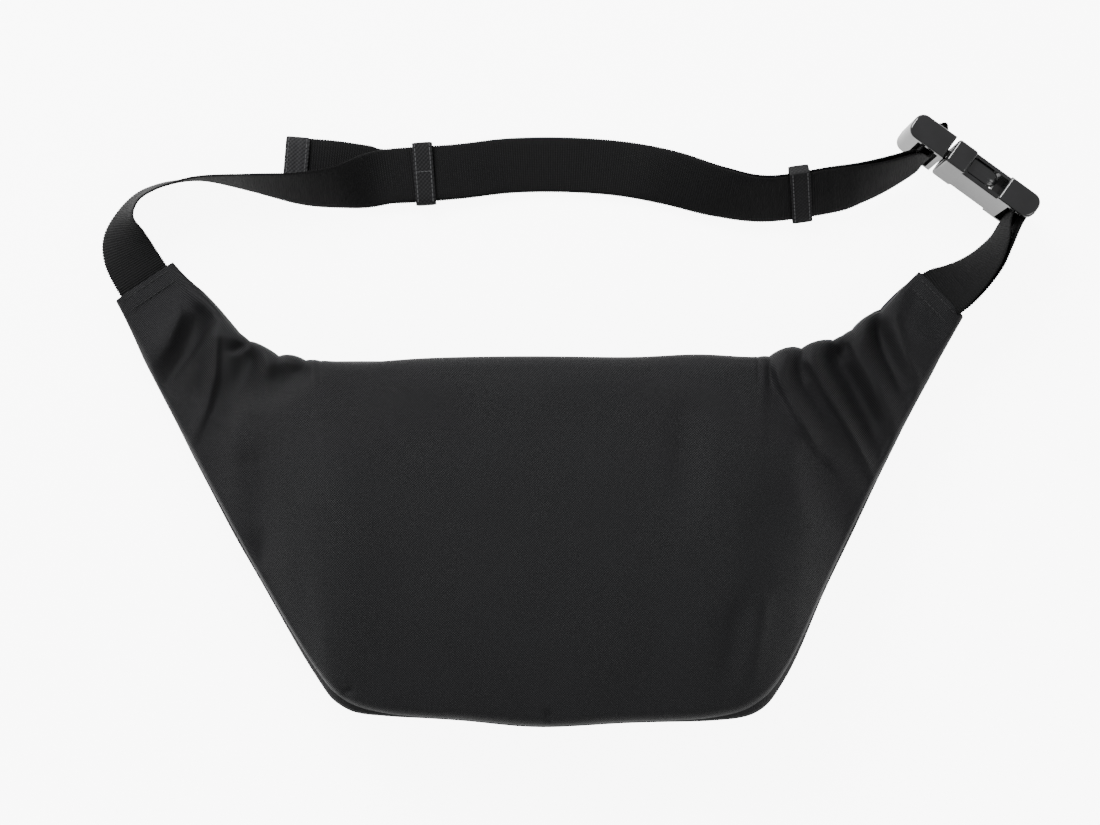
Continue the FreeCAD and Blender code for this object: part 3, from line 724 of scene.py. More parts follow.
def round_bar(frames, centre, radius, along, slack=1.0):
    """The half turn that a strap makes round a bar; with slack it stands off the bar."""
    _, wide, face, _ = frames[-1]
    row = []
    for step in range(1, 8):
        angle = math.pi * step / 8
        out = face * math.cos(angle) + along * (math.sin(angle) * slack)
        row.append((centre + out * radius, wide, out.normalized()))
    return row


left_tip, left_axis = wing_tip(-1)
right_tip, right_axis = wing_tip(1)
tip_height = TIP_LIFT + CLOTH + (TIP_DEPTH - CLOTH) / 2
LEFT_KEEPER, LEFT_HEADING = (-57.8, 184.3, 3.9), heading(4)
RIGHT_KEEPER, RIGHT_HEADING, RIGHT_ROLL = (129.0, 173.4, 13.396), heading(8), 42.0
PITCH = 2.2
start = left_tip - left_axis * 12
outside = left_tip + left_axis * 3
loose = [(start.x, start.y, tip_height, 180, 0),
         (outside.x, outside.y, tip_height - 0.2, 179, 0)]
for x, y, z, roll in [(-8.0, 13.5, tip_height - 1.2, 167), (-10.8, 23.0, 19.0, 148),
                      (-10.5, 33.4, 16.8, 118), (-4.9, 42.2, 15.2, 106), (4.0, 47.2, 14.5, 101),
                      (14.5, 50.0, 14.3, 97), (28.5, 51.6, 14.05, 90)]:
    loose.append((left_tip.x + x, left_tip.y + y, z, roll, 0))
loose += [(-143.0, 178.9, 13.9, 76, 0), (-118.8, 176.2, 12.8, 59, 0),
          (-99.0, 177.2, 11.4, 43, 0)]
paired = keeper_run(LEFT_KEEPER, LEFT_HEADING, 0, PITCH)
paired += [(-15.0, 188.6, 2.1, 0, PITCH), (13.0, 189.0, 2.1, 0, PITCH),
           (41.0, 187.0, 2.1, 0, PITCH), (65.0, 182.0, 6.8, 18, PITCH),
           (89.0, 174.8, 11.4, 33, PITCH)]
paired += keeper_run(RIGHT_KEEPER, RIGHT_HEADING, RIGHT_ROLL, PITCH)
paired += [(158.5, 178.9, 15.4, 52, PITCH), (170.5, 183.0, 16.8, 62, PITCH + 0.4)]
SLIDE_RADIUS, HOUSING_RADIUS, BAR_CLEARANCE = 1.6, 2.0, 0.35
SLIDE_TURN = SLIDE_RADIUS + BAR_CLEARANCE + WEB_THICK / 2
HOUSING_TURN = HOUSING_RADIUS + BAR_CLEARANCE + WEB_THICK / 2
FRAME_LENGTH, FRAME_WALL, SLIDE_GAP = 22, 2.5, 4.0
BUCKLE_LENGTH, END_BAR_LENGTH = 74.1, 7
slide_x = FRAME_LENGTH - FRAME_WALL - SLIDE_GAP - SLIDE_RADIUS
housing_x = BUCKLE_LENGTH - END_BAR_LENGTH + HOUSING_RADIUS
loose_frames = lay_frames(loose + paired)
tilted = (BUCKLE_UP + loose_frames[-1][1]).normalized()
facing = BUCKLE_ALONG - tilted * BUCKLE_ALONG.dot(tilted)
loose_frames.append((in_buckle(slide_x - 1.5, -12, 0), tilted, facing.normalized(), 3.4))
loose_frames.append((in_buckle(slide_x, -8, 0), BUCKLE_UP, BUCKLE_ALONG, 2 * SLIDE_TURN))
TAIL_END, TAIL_NEXT = (-117.5, 188.8), (-103.0, 187.6)
tail = lay_frames([(*TAIL_END, 0.95, 0, 0), (*TAIL_NEXT, 0.95, 0, 0),
                   (-88.0, 185.4, 1.15, 0, 0)])
loose_row = layer(loose_frames, 1)
loose_row += round_bar(loose_frames, in_buckle(slide_x, 3.6, 0), SLIDE_TURN, BUCKLE_ACROSS, 2.2)
loose_row += layer(loose_frames[len(loose):], -1)[::-1]
loose_row += layer(tail, -1)[::-1]

start = right_tip - right_axis * 12
outside = right_tip + right_axis * 3
entry = in_buckle(housing_x, -7.5, 0)
run = entry - outside
aside = Vector((run.y, -run.x, 0)).normalized()
inside = right_tip - right_axis * 3
fixed = [(start.x, start.y, tip_height, 0, 2.0), (inside.x, inside.y, tip_height, -5, 2.0),
         (outside.x + 0.8, outside.y - 0.8, tip_height - 0.3, -22, 2.0)]
for part, shift, roll in ((0.15, 3.2, -38), (0.34, 4.6, -52),
                          (0.56, 4.8, -64), (0.79, 3.0, -77)):
    spot = outside + run * part + aside * shift
    height = tip_height + (entry.z - tip_height) * part
    fixed.append((spot.x, spot.y, height, roll, 2.0 + part ** 6 * 3))
fixed_frames = lay_frames(fixed)
fixed_frames.append((entry, -BUCKLE_UP, -BUCKLE_ALONG, 2 * HOUSING_TURN))
fixed_row = layer(fixed_frames, 1)
fixed_row += round_bar(fixed_frames, in_buckle(housing_x, 3.0, 0), HOUSING_TURN, BUCKLE_ACROSS)
fixed_row += layer(fixed_frames, -1)[::-1]


# %% Weave a strap along its frames
def row_lengths(row):
    """Distance from the start at each frame."""
    total = [0.0]
    for first, second in zip(row, row[1:]):
        total.append(total[-1] + (second[0] - first[0]).length)
    return total


def strap_sampler(row):
    """Gives middle, across and face at a distance along the strap."""
    reach = row_lengths(row)
    spots = [frame_[0] for frame_ in row]
    wides = [frame_[1] for frame_ in row]
    faces = [frame_[2] for frame_ in row]

    def at(distance):
        k = 0
        while k < len(reach) - 2 and reach[k + 1] < distance:
            k += 1
        place = k + (distance - reach[k]) / (reach[k + 1] - reach[k])
        wide = through(wides, place).normalized()
        face = through(faces, place)
        face = (face - wide * face.dot(wide)).normalized()
        return through(spots, place), wide, face

    return at, reach[-1]


def flat_loop(part):
    """Rounded flat outline of webbing: part of the way round gives (across, out)."""
    angle = 2 * math.pi * part
    c, s = math.cos(angle), math.sin(angle)
    return (math.copysign(abs(c) ** 0.28, c), math.copysign(abs(s) ** 0.75, s))


def weave_strap(name, row):
    """Flat ribbed tube along the frames of a strap."""
    at, length = strap_sampler(row)
    steps = int(length / RIB * 5)
    cache = {}

    def place_of(u, v):
        key = round(u * steps)
        if key not in cache:
            cache[key] = at(length * key / steps)
        spot, wide, face = cache[key]
        rib = abs(math.sin(math.pi * length * u / RIB)) ** 0.8
        across, out = flat_loop(v)
        half_wide = WEB_WIDTH / 2 - 0.40 + 0.50 * rib
        half_thick = WEB_THICK / 2 - 0.24 + 0.26 * rib
        point = spot + wide * (across * half_wide) + face * (out * half_thick)
        return point, (length * u * MM, across * half_wide * MM)

    piece = lay_cloth(name, steps, 16, place_of)
    pick(piece)
    bpy.ops.object.mode_set(mode="EDIT")
    bpy.ops.mesh.select_all(action="SELECT")
    bpy.ops.mesh.remove_doubles(threshold=0.00002)
    bpy.ops.mesh.select_all(action="DESELECT")
    bpy.ops.mesh.select_non_manifold()
    bpy.ops.mesh.fill_holes(sides=0)
    bpy.ops.object.mode_set(mode="OBJECT")
    turned_out(piece)
    smooth_shade(piece, 70)
    print(name, "length", round(length), "mm, faces", len(piece.data.polygons))
    return piece


adjustable_strap = weave_strap("adjustable_strap_webbing", loose_row)
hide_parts("adjustable_strap")
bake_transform(adjustable_strap)
fixed_strap = weave_strap("fixed_strap_webbing", fixed_row)
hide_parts("fixed_strap")
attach(fixed_strap, "bag")

# %% [markdown]
# ## Stitches
# One stitch is a short cylinder with drawn-in ends. It is modelled once, copied along a
# line with its own mesh each time, and the copies are joined.

# %% Stitch maker
def first_stitch(length, thickness):
    """One stitch lying along X, with rounded ends."""
    clear_selection()
    bpy.ops.mesh.primitive_cylinder_add(vertices=6, radius=thickness / 2 * MM,
                                        depth=length * MM, rotation=(0, math.pi / 2, 0))
    piece = bpy.context.object
    bpy.ops.object.transform_apply(location=False, rotation=True, scale=False)
    faces_where(piece, lambda face: abs(face.normal.x) > 0.9)
    bpy.ops.mesh.extrude_region_move(TRANSFORM_OT_translate={"value": (0, 0, 0)})
    bpy.ops.object.mode_set(mode="OBJECT")
    for point in piece.data.vertices:
        if point.select:
            side = math.copysign(1, point.co.x)
            point.co.x += side * thickness * 0.3 * MM
            point.co.y *= 0.45
            point.co.z *= 0.45
    return piece


def stitch_line(name, points, faces, spacing=2.8, length=1.9, thickness=0.5):
    """Stitches along a line of points in mm, each lying on its face direction."""
    pattern = first_stitch(length, thickness)
    pieces = []
    gone = spacing / 2
    for (start_, end_), face in zip(zip(points, points[1:]), faces):
        step = (end_ - start_).length
        along = (end_ - start_) / max(step, 1e-6)
        side = face.cross(along).normalized()
        top = along.cross(side).normalized()
        while gone < step:
            spot = start_ + along * gone
            copy = bpy.data.objects.new(name, pattern.data.copy())
            bpy.context.collection.objects.link(copy)
            for point in copy.data.vertices:
                x, y, z = point.co
                point.co = spot * MM + along * x + side * y + top * z
            pieces.append(copy)
            gone += spacing
        gone -= step
    clear_selection()
    for piece in pieces:
        piece.select_set(True)
    bpy.context.view_layer.objects.active = pieces[0]
    bpy.ops.object.join()
    row = bpy.context.object
    row.name = name
    bpy.data.objects.remove(pattern)
    turned_out(row)
    return row


# %% [markdown]
# Two rows of stitches close each wing hem over the end of the strap. A ray sent down on the
# back panel finds the height at which each point of a row lies.

# %% Hem stitches
stitches = []


def hem_line(side, distance):
    """Points across a wing at a distance in from its mouth, found on the back panel."""
    middle, axis = TIPS[side]
    edge = Vector((axis.y, -axis.x, 0)) * side
    row = []
    for part in range(11):
        spot = middle - axis * distance + edge * ((part / 10 - 0.5) * (TIP_WIDTH[side] - 7))
        above = Vector((spot.x * MM, spot.y * MM, 0.1))
        hit, place, _, _ = back_panel.ray_cast(above, -UP)
        if hit:
            row.append(place / MM + UP * 0.1)
    return row


for side, word in ((-1, "left"), (1, "right")):
    for number, distance in enumerate((2.4, 8.4)):
        line = hem_line(side, distance)
        row = stitch_line("hem_stitches_" + word + "_" + str(number), line, [UP] * len(line),
                          2.6, 1.7, 0.42)
        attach(row, "bag")
        stitches.append(row)
print("hem rows:", len(stitches))


# %% [markdown]
# ## Keepers and end tab
# A keeper is a band of the same weave sewn into a flat ring. A cube gives the ring: its two
# open ends are deleted, its long edges are rounded and a wall is grown inwards.

# %% Keepers
CORNER_CUT = 0.9


def soften(piece, width, segments):
    """Bevel on the sharp edges of a piece, width in millimetres."""
    soft = piece.modifiers.new("soft edges", "BEVEL")
    soft.width = width * MM
    soft.segments = segments
    soft.limit_method = "ANGLE"
    soft.angle_limit = math.radians(50)


def keeper_band(name, place, direction, roll, body):
    """Ring of tape round both layers, with two rows of stitches."""
    level = Vector((-direction.y, direction.x, 0))
    turn = math.radians(roll)
    wide = level * math.cos(turn) + UP * math.sin(turn)
    face = direction.cross(wide)
    middle = Vector(place)
    half_wide = WEB_WIDTH / 2 + 1.9
    half_face = (PITCH + WEB_THICK) / 2 + 1.9
    clear_selection()
    bpy.ops.mesh.primitive_cube_add(size=2)
    piece = bpy.context.object
    piece.name = name + "_band"
    faces_where(piece, lambda face: abs(face.normal.x) > 0.9)
    bpy.ops.mesh.delete(type="FACE")
    bpy.ops.mesh.select_all(action="SELECT")
    bpy.ops.mesh.subdivide(number_cuts=6)
    bpy.ops.object.mode_set(mode="OBJECT")
    for point in piece.data.vertices:
        x, y, z = point.co
        reach = max(abs(y) * half_wide, abs(z) * half_face)
        across = y * half_wide
        out = z * half_face
        if abs(across) > half_wide - CORNER_CUT and abs(out) > half_face - CORNER_CUT:
            across = math.copysign(half_wide - CORNER_CUT * 0.3, across)
            out = math.copysign(half_face - CORNER_CUT * 0.3, out)
        edge = 0.25 * (abs(x) ** 6)
        swell = 1 - edge / max(reach, 1)
        spot = middle + direction * (x * 5.0) + wide * across * swell + face * out * swell
        point.co = spot * MM
    turned_out(piece)
    wall = piece.modifiers.new("wall", "SOLIDIFY")
    wall.thickness = 1.3 * MM
    wall.offset = -1
    soften(piece, 0.35, 2)
    apply_all(piece)
    layer_ = piece.data.uv_layers.active or piece.data.uv_layers.new(name="cloth")
    for corner in piece.data.loops:
        local = piece.data.vertices[corner.vertex_index].co / MM - middle
        layer_.data[corner.index].uv = (local.dot(direction) * MM,
                                        (local.dot(wide) + local.dot(face)) * MM)
    smooth_shade(piece, 40)
    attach(piece, body)
    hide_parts(name)
    for number, shift in enumerate((-3.7, 3.7)):
        line = [middle + direction * shift + wide * (half_wide * t / 6) * 0.93 + face * half_face
                for t in range(-6, 7)]
        row = stitch_line(name + "_stitches_" + str(number), line, [face] * 12, 2.3, 1.5, 0.45)
        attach(row, body)
        stitches.append(row)
    return piece


keepers = [keeper_band("keeper_left", LEFT_KEEPER, LEFT_HEADING, 0, "left_keeper"),
           keeper_band("keeper_right", RIGHT_KEEPER, RIGHT_HEADING, RIGHT_ROLL, "right_keeper")]
middle = Vector(LEFT_KEEPER)
cross = Vector((-LEFT_HEADING.y, LEFT_HEADING.x, 0))
seam = [middle + LEFT_HEADING * t + cross * 0.8 + UP * 3.85 for t in (-3.5, 0, 3.5)]
seam_row = stitch_line("keeper_left_seam", seam, [UP, UP], 1.9, 1.4, 0.4)
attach(seam_row, "left_keeper")
stitches.append(seam_row)

# %% Strap end tab
def cut_cube(name, cuts):
    """Cube two units wide, cut into small faces, ready to be shaped."""
    clear_selection()
    bpy.ops.mesh.primitive_cube_add(size=2)
    piece = bpy.context.object
    piece.name = name
    bpy.ops.object.mode_set(mode="EDIT")
    bpy.ops.mesh.subdivide(number_cuts=cuts)
    bpy.ops.object.mode_set(mode="OBJECT")
    return piece


tab_frame = lay_frames([(*TAIL_END, 0, 0, 0), (*TAIL_NEXT, 0, 0, 0)])[0]
tab_wide = tab_frame[1]
tab_along = Vector((tab_wide.y, -tab_wide.x, 0))
tab_middle = Vector((*TAIL_END, 1.8)) - tab_along * 4.4
strap_tab = cut_cube("strap_end_tab_folded", 9)
for point in strap_tab.data.vertices:
    x, y, z = point.co
    fat = 1.6 - 0.35 * abs(x) ** 6 - 0.5 * abs(y) ** 8 - 0.15 * math.cos(x * 9)
    spot = tab_middle + tab_along * x * 6.0 + tab_wide * y * 13.9 + UP * z * fat
    point.co = spot * MM
round_edges = strap_tab.modifiers.new("round", "SUBSURF")
round_edges.levels = 1
round_edges.render_levels = 1
apply_all(strap_tab)
layer_ = strap_tab.data.uv_layers.active
for corner in strap_tab.data.loops:
    local = strap_tab.data.vertices[corner.vertex_index].co / MM - tab_middle
    layer_.data[corner.index].uv = (local.dot(tab_along) * MM, local.dot(tab_wide) * MM)
smooth_shade(strap_tab, 60)
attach(strap_tab, "bag")
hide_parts("strap_end_tab")
for number, shift in enumerate((-4.4, 4.6)):
    line = [tab_middle + tab_along * shift + tab_wide * (12.5 * t / 6) + UP * 1.55
            for t in range(-6, 7)]
    row = stitch_line("tab_stitches_" + str(number), line, [UP] * 12, 2.6, 1.7, 0.45)
    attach(row, "bag")
    stitches.append(row)
print("stitch rows:", len(stitches))

# %% [markdown]
# ## Squeeze arms
# The arm that a thumb presses is a rounded tongue in the side window of the housing. A
# cube is cut into small faces in edit mode. Its outer end is rounded off, its pressing
# face is crowned, and its long thin root runs back into the collar.

# %% Squeeze arms
ARM_START, ARM_LENGTH = 23.4, 27.4


def squeeze_arm(name, side, body):
    """Tongue with a rounded end, a crowned face and a thin root."""
    piece = cut_cube(name + "_tongue", 15)
    for point in piece.data.vertices:
        x, y, z = point.co
        along = (x + 1) / 2
        head = step_up((along - 0.34) / 0.10)
        end = math.sqrt(max(1 - max((along - 0.80) / 0.20, 0) ** 2, 0.0))
        half_high = (3.0 + 0.9 * head) * (0.15 + 0.85 * end)
        inner = 8.0 + 0.2 * head + 2.0 * (1 - end)
        outer = 12.0 + head * (3.0 - 0.9 * y * y * end) - 2.4 * (1 - end)
        groove = 0.35 * head * math.exp(-((abs(y) - 0.55) / 0.12) ** 2) * end
        if z > 0.9:
            outer -= groove
        height = inner + (outer - inner) * (z + 1) / 2
        point.co = in_buckle(ARM_START + ARM_LENGTH * along, y * half_high, side * height) * MM
    turned_out(piece)
    soften(piece, 0.5, 3)
    apply_all(piece)
    smooth_shade(piece, 40)
    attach(piece, body)
    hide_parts(name)
    return piece


arms = [squeeze_arm("latch_arm_upper", 1, "arm_upper"),
        squeeze_arm("latch_arm_lower", -1, "arm_lower")]
print("arms:", len(arms))

# %% [markdown]
# ## Zip coils
# A coil zip has two spirals that hook together. One turn of a spiral is a short bent rod.
# It is modelled once and an Array modifier repeats it along the zip, every second turn
# belonging to the other side.

# %% Zip coils
COIL_PITCH = 1.3


def zip_frame(angle):
    """Outward and sideways directions of a zip, and its middle point, in mm."""
    turn = math.radians(angle)
    outward = Vector((0, math.sin(turn), -math.cos(turn)))
    sideways = Vector((0, math.cos(turn), math.sin(turn)))
    middle = Vector((0, TOP_EDGE - TOP_RADIUS, TOP_RADIUS)) + outward * TOP_RADIUS
    return middle, outward, sideways


def coil_row(name, node, angle, half_length, side):
    """One side of a zip: a row of small hooked turns."""
    middle, outward, sideways = zip_frame(angle)
    piece = cut_cube(name, 2)
    start_ = -half_length + 4.5
    shift = 0.0 if side > 0 else COIL_PITCH / 2
    for point in piece.data.vertices:
        x, y, z = point.co
        hook = 0.10 * y ** 2
        across_ = side * (0.85 + 0.75 * y)
        out = -0.45 + 0.85 * z * (1 - 0.25 * y ** 2)
        spot = middle + Vector((start_ + shift + 0.42 * x * (1 - hook), 0, 0))
        spot += sideways * across_ + outward * out
        point.co = spot * MM
    turns = piece.modifiers.new("turns", "ARRAY")
    turns.use_relative_offset = False
    turns.use_constant_offset = True
    turns.constant_offset_displace = (COIL_PITCH * MM, 0, 0)
    turns.count = int((2 * half_length - 9) / COIL_PITCH)
    apply_all(piece)
    smooth_shade(piece, 70)
    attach(piece, "bag")
    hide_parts(node)
    return piece


coils = []
for zip_name, angle, half in (("main_zip", MAIN_ZIP, MAIN_HALF),
                              ("pocket_zip", POCKET_ZIP, POCKET_HALF)):
    for word, side in (("top", 1), ("bottom", -1)):
        node = zip_name + "_coil_" + word
        coils.append(coil_row(node + "_turns", node, angle, half, side))
print("coil rows:", len(coils))

# %% [markdown]
# ## Shader groups
# Effects that several finishes share are groups: a plain weave and a soft patchiness. Each
# takes numbers and gives back a mask or a height.

# %% Group helper
def new_group(name, inputs, outputs):
    """Empty shader group with named inputs and outputs; returns its tree and ends."""
    tree = bpy.data.node_groups.new(name, "ShaderNodeTree")
    for label, kind, value in inputs:
        socket = tree.interface.new_socket(label, in_out="INPUT", socket_type=kind)
        if value is not None:
            socket.default_value = value
    for label in outputs:
        tree.interface.new_socket(label, in_out="OUTPUT", socket_type="NodeSocketFloat")
    return tree, tree.nodes.new("NodeGroupInput"), tree.nodes.new("NodeGroupOutput")


def sums(tree, kind, a, b=None):
    """Math node; each of a and b is a socket or a number."""
    node = tree.nodes.new("ShaderNodeMath")
    node.operation = kind
    for slot_, value in enumerate((a, b)):
        if value is None:
            continue
        if isinstance(value, (int, float)):
            node.inputs[slot_].default_value = value
        else:
            tree.links.new(value, node.inputs[slot_])
    return node.outputs[0]


# %% Plain weave
weave_tree, ends_in, ends_out = new_group(
    "plain weave", [("Cloth", "NodeSocketVector", None), ("Threads", "NodeSocketFloat", 1000.0),
                    ("Stretch", "NodeSocketFloat", 1.0)], ["Height"])
apart = weave_tree.nodes.new("ShaderNodeSeparateXYZ")
weave_tree.links.new(ends_in.outputs["Cloth"], apart.inputs[0])
turns_x = sums(weave_tree, "MULTIPLY", apart.outputs[0], ends_in.outputs["Threads"])
turns_y = sums(weave_tree, "MULTIPLY", apart.outputs[1], ends_in.outputs["Threads"])
turns_y = sums(weave_tree, "MULTIPLY", turns_y, ends_in.outputs["Stretch"])
wave_x = sums(weave_tree, "SINE", sums(weave_tree, "MULTIPLY", turns_x, 2 * math.pi))
wave_y = sums(weave_tree, "SINE", sums(weave_tree, "MULTIPLY", turns_y, 2 * math.pi))
both = sums(weave_tree, "MULTIPLY", wave_x, wave_y)
half_up = sums(weave_tree, "MULTIPLY", both, 0.5)
weave_tree.links.new(sums(weave_tree, "ADD", half_up, 0.5), ends_out.inputs["Height"])

# %% Patchiness
patch_tree, ends_in, ends_out = new_group(
    "soft patches", [("Place", "NodeSocketVector", None), ("Size", "NodeSocketFloat", 30.0),
                     ("Low", "NodeSocketFloat", 0.35), ("High", "NodeSocketFloat", 0.65)],
    ["Mask"])
cloud = patch_tree.nodes.new("ShaderNodeTexNoise")
cloud.inputs["Detail"].default_value = 4
patch_tree.links.new(ends_in.outputs["Place"], cloud.inputs["Vector"])
patch_tree.links.new(ends_in.outputs["Size"], cloud.inputs["Scale"])
spread = patch_tree.nodes.new("ShaderNodeMapRange")
patch_tree.links.new(cloud.outputs[0], spread.inputs["Value"])
patch_tree.links.new(ends_in.outputs["Low"], spread.inputs["From Min"])
patch_tree.links.new(ends_in.outputs["High"], spread.inputs["From Max"])
patch_tree.links.new(spread.outputs[0], ends_out.inputs["Mask"])


# %% Finish helpers
def new_finish(name):
    """Material with its shader and the sockets that patterns start from."""
    finish = bpy.data.materials.new(name)
    finish.use_nodes = True
    tree = finish.node_tree
    shader = tree.nodes["Principled BSDF"]
    place = tree.nodes.new("ShaderNodeTexCoord")
    return finish, tree, shader, place


def use_group(tree, group, values, links):
    """Place a group with its own numbers and links."""
    node = tree.nodes.new("ShaderNodeGroup")
    node.node_tree = group
    for label, value in values.items():
        node.inputs[label].default_value = value
    for label, socket in links.items():
        tree.links.new(socket, node.inputs[label])
    return node.outputs[0]


def two_tone(tree, mask, dark, light):
    """Colour that goes from dark to light with a mask."""
    mix = tree.nodes.new("ShaderNodeMix")
    mix.data_type = "RGBA"
    mix.inputs["A"].default_value = (*dark, 1)
    mix.inputs["B"].default_value = (*light, 1)
    tree.links.new(mask, mix.inputs["Factor"])
    return mix.outputs["Result"]


def spread_to(tree, mask, low, high):
    """Turn a mask into a number between low and high."""
    node = tree.nodes.new("ShaderNodeMapRange")
    node.inputs["To Min"].default_value = low
    node.inputs["To Max"].default_value = high
    tree.links.new(mask, node.inputs["Value"])
    return node.outputs[0]


def add_bump(tree, shader, height, distance, strength, under=None):
    """Bump from a height, on top of another bump if one is given."""
    node = tree.nodes.new("ShaderNodeBump")
    node.inputs["Distance"].default_value = distance
    node.inputs["Strength"].default_value = strength
    tree.links.new(height, node.inputs["Height"])
    if under is not None:
        tree.links.new(under, node.inputs["Normal"])
    tree.links.new(node.outputs[0], shader.inputs["Normal"])
    return node.outputs[0]


# %% [markdown]
# ## Cloth finishes
# Black nylon is never one flat black. Its weave height also lightens the colour on the crest
# of each thread, a painted highlight, beside a little sheen at grazing angles and slow changes
# of tone. Webbing has its ribs in its shape, and its weave here is as wide as one rib, so the
# painted highlight lies on each rib.

# %% Cloth finishes
def cloth_finish(name, dark, light, threads, stretch, bump, rough, sheen, shine=0.25):
    """Woven finish on the cloth's own UV map."""
    finish, tree, shader, place = new_finish(name)
    weave = use_group(tree, weave_tree, {"Threads": threads, "Stretch": stretch},
                      {"Cloth": place.outputs["UV"]})
    patches = use_group(tree, patch_tree, {"Size": 28.0}, {"Place": place.outputs["Object"]})
    fuzz = use_group(tree, patch_tree, {"Size": 2600.0, "Low": 0.2, "High": 0.8},
                     {"Place": place.outputs["Object"]})
    # The weave height lightens the colour on each thread crest, a painted highlight; the patches
    # and the fuzz are tone that differs at random.
    thread_highlight_and_tone = sums(tree, "MULTIPLY", weave, 0.55)
    for mask, share in ((patches, 0.2), (fuzz, 0.25)):
        thread_highlight_and_tone = sums(tree, "ADD", thread_highlight_and_tone, sums(tree, "MULTIPLY", mask, share))
    tree.links.new(two_tone(tree, thread_highlight_and_tone, dark, light), shader.inputs["Base Color"])
    tree.links.new(spread_to(tree, patches, rough - 0.05, rough + 0.05), shader.inputs["Roughness"])
    first = add_bump(tree, shader, weave, bump, 0.6)
    add_bump(tree, shader, fuzz, bump * 0.5, 0.3, first)
    shader.inputs["Sheen Weight"].default_value = sheen
    shader.inputs["Sheen Roughness"].default_value = 0.4
    shader.inputs["Specular IOR Level"].default_value = shine
    return finish


nylon = cloth_finish("nylon_shell", (0.0024, 0.0024, 0.0028), (0.0112, 0.0112, 0.0126),
                     850.0, 1.0, 0.00045, 0.54, 0.02, 0.18)
webbing = cloth_finish("belt_webbing", (0.0005, 0.0005, 0.0006), (0.0062, 0.0062, 0.0066),
                       1.0 / (RIB * MM), 1.35, 0.00030, 0.62, 0.01, 0.13)
band_cloth = cloth_finish("keeper_band", (0.0025, 0.0025, 0.0028), (0.015, 0.015, 0.016),
                          480.0, 1.0, 0.00035, 0.65, 0.015, 0.15)
tab_cloth = cloth_finish("tab_cloth", (0.006, 0.006, 0.0066), (0.030, 0.030, 0.032),
                         480.0, 1.0, 0.00035, 0.65, 0.02, 0.18)
lining_cloth = cloth_finish("lining_cloth", (0.016, 0.016, 0.018), (0.035, 0.035, 0.038),
                            1500.0, 1.0, 0.00006, 0.55, 0.05)
tape_cloth = cloth_finish("zip_tape", (0.009, 0.009, 0.010), (0.026, 0.026, 0.028),
                          1100.0, 0.5, 0.00010, 0.7, 0.05)
thread = cloth_finish("grey_thread", (0.05, 0.05, 0.052), (0.10, 0.10, 0.105),
                      2500.0, 1.0, 0.00005, 0.6, 0.1)
dark_thread = cloth_finish("dark_thread", (0.008, 0.008, 0.009), (0.028, 0.028, 0.029),
                           2500.0, 1.0, 0.00005, 0.6, 0.1)

# %% [markdown]
# ## Plastic and metal finishes
# Moulded plastic has a fine grain that softens its reflections, and faint scuffs. The
# sliders are metal under black enamel.

# %% Plastic and metal
def moulded_finish(name, dark, light, rough_low, rough_high, grain, coat=0.0):
    """Moulded or enamelled finish with a fine grain."""
    finish, tree, shader, place = new_finish(name)
    patches = use_group(tree, patch_tree, {"Size": 60.0}, {"Place": place.outputs["Object"]})
    fine = use_group(tree, patch_tree, {"Size": 1800.0, "Low": 0.3, "High": 0.7},
                     {"Place": place.outputs["Object"]})
    tree.links.new(two_tone(tree, patches, dark, light), shader.inputs["Base Color"])
    tree.links.new(spread_to(tree, patches, rough_low, rough_high), shader.inputs["Roughness"])
    add_bump(tree, shader, fine, grain, 0.25)
    shader.inputs["Coat Weight"].default_value = coat
    return finish


buckle_plastic = moulded_finish("buckle_plastic", (0.006, 0.006, 0.0065), (0.010, 0.010, 0.011),
                                0.14, 0.24, 0.00004, 0.6)
coil_plastic = moulded_finish("coil_plastic", (0.012, 0.012, 0.013), (0.022, 0.022, 0.024),
                              0.4, 0.5, 0.00003)
black_enamel = moulded_finish("black_enamel", (0.010, 0.010, 0.011), (0.020, 0.020, 0.022),
                              0.28, 0.40, 0.00003, 0.3)

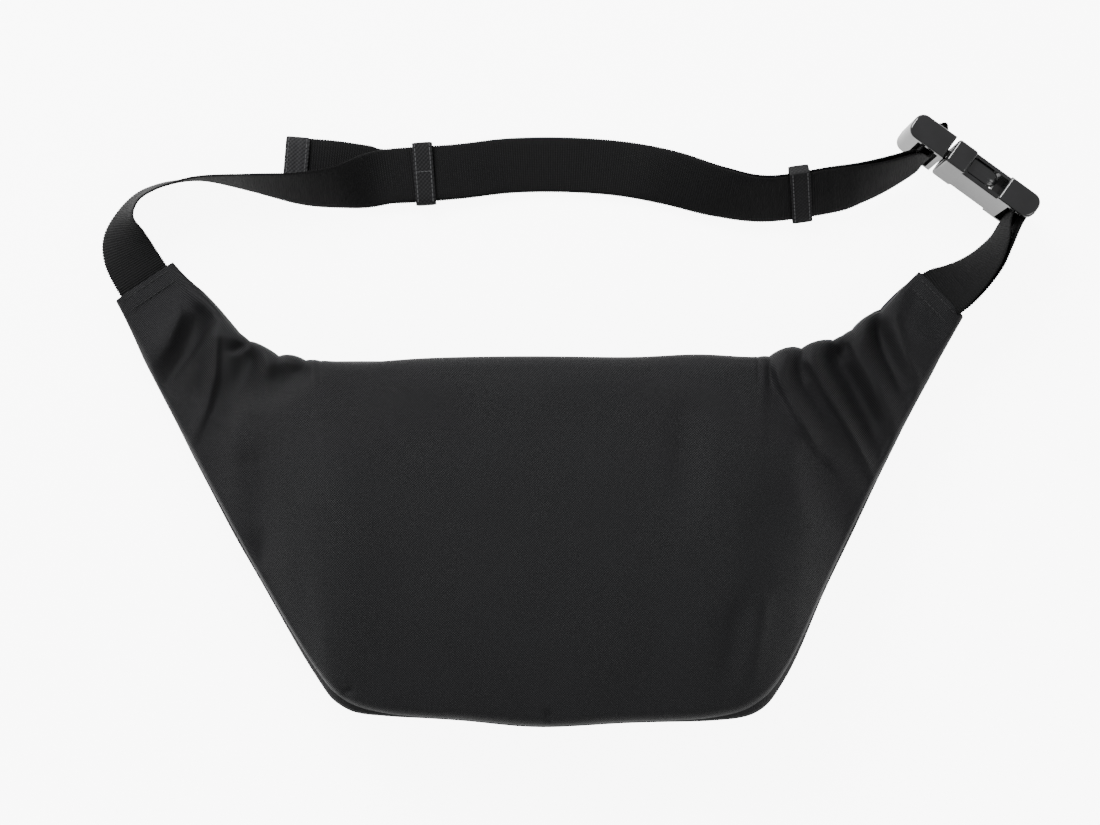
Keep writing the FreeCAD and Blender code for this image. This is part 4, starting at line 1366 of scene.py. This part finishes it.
# %% Hand out the finishes
SLOT_FINISH = {"shell_nylon": nylon, "lining_nylon": lining_cloth, "foam": lining_cloth,
               "elastic": tape_cloth, "webbing": webbing, "keeper_fabric": band_cloth,
               "zip_tape": tape_cloth, "zip_coil": coil_plastic, "zip_metal": black_enamel,
               "buckle_plastic": buckle_plastic}
SLOT_OF = {part["node"]: part["material_slot"] for part in frame["record"]["subparts"]}
for node, piece in frame["nodes"].items():
    set_finish(piece, SLOT_FINISH[SLOT_OF[node]])
for pieces, finish in [([back_panel] + panels, nylon), ([foam], lining_cloth),
                       ([adjustable_strap, fixed_strap], webbing), (keepers, band_cloth),
                       ([strap_tab], tab_cloth), (elastics, tape_cloth),
                       (coils, coil_plastic), (arms, buckle_plastic)]:
    for piece in pieces:
        set_finish(piece, finish)
for row in stitches:
    set_finish(row, dark_thread if row.name.startswith("hem") else thread)

# %% [markdown]
# ## Floor, light and camera
# A white table under a broad soft light from the upper left, a weak one from the lower
# right and an even sky. The table glows about ten times as strongly to the camera as to the
# bag, so that it looks white and still does not light the bag as much from below. The
# camera looks straight down.

# %% Stage
clear_selection()
bpy.ops.mesh.primitive_plane_add(size=8, location=(0, 0, -0.0003))
floor = bpy.context.object
floor.name = "floor"
white, tree, shader, _ = new_finish("white_table")
shader.inputs["Base Color"].default_value = (0.86, 0.86, 0.86, 1)
shader.inputs["Roughness"].default_value = 0.8
shader.inputs["Specular IOR Level"].default_value = 0.1
shader.inputs["Emission Color"].default_value = (1, 1, 1, 1)
eye = tree.nodes.new("ShaderNodeLightPath")
glow = sums(tree, "ADD", sums(tree, "MULTIPLY", eye.outputs["Is Camera Ray"], 7.0), 0.8)
tree.links.new(glow, shader.inputs["Emission Strength"])
set_finish(floor, white)

sky = bpy.data.worlds.new("studio")
sky.use_nodes = True
sky.node_tree.nodes["Background"].inputs[0].default_value = (1, 1, 1, 1)
sky.node_tree.nodes["Background"].inputs[1].default_value = 0.5
bpy.context.scene.world = sky


def soft_light(name, place, target, size, power):
    """Square area light aimed at a point."""
    lamp = bpy.data.lights.new(name, "AREA")
    lamp.size = size
    lamp.energy = power
    holder = bpy.data.objects.new(name, lamp)
    bpy.context.collection.objects.link(holder)
    holder.location = place
    aim = Vector(target) - Vector(place)
    holder.rotation_euler = aim.to_track_quat("-Z", "Y").to_euler()


soft_light("key", (-0.7, 1.25, 1.05), (0, 0.05, 0), 0.8, 46)
soft_light("fill", (1.1, -0.5, 1.3), (0, 0.05, 0), 1.0, 10)

# %% Camera
lens = bpy.data.cameras.new("camera")
lens.lens = 85
lens.sensor_width = 36
camera = bpy.data.objects.new("camera", lens)
bpy.context.collection.objects.link(camera)
camera.location = (0.005, 0.06525, 1.3)
camera.rotation_euler = (0, 0, 0)
bpy.context.scene.camera = camera
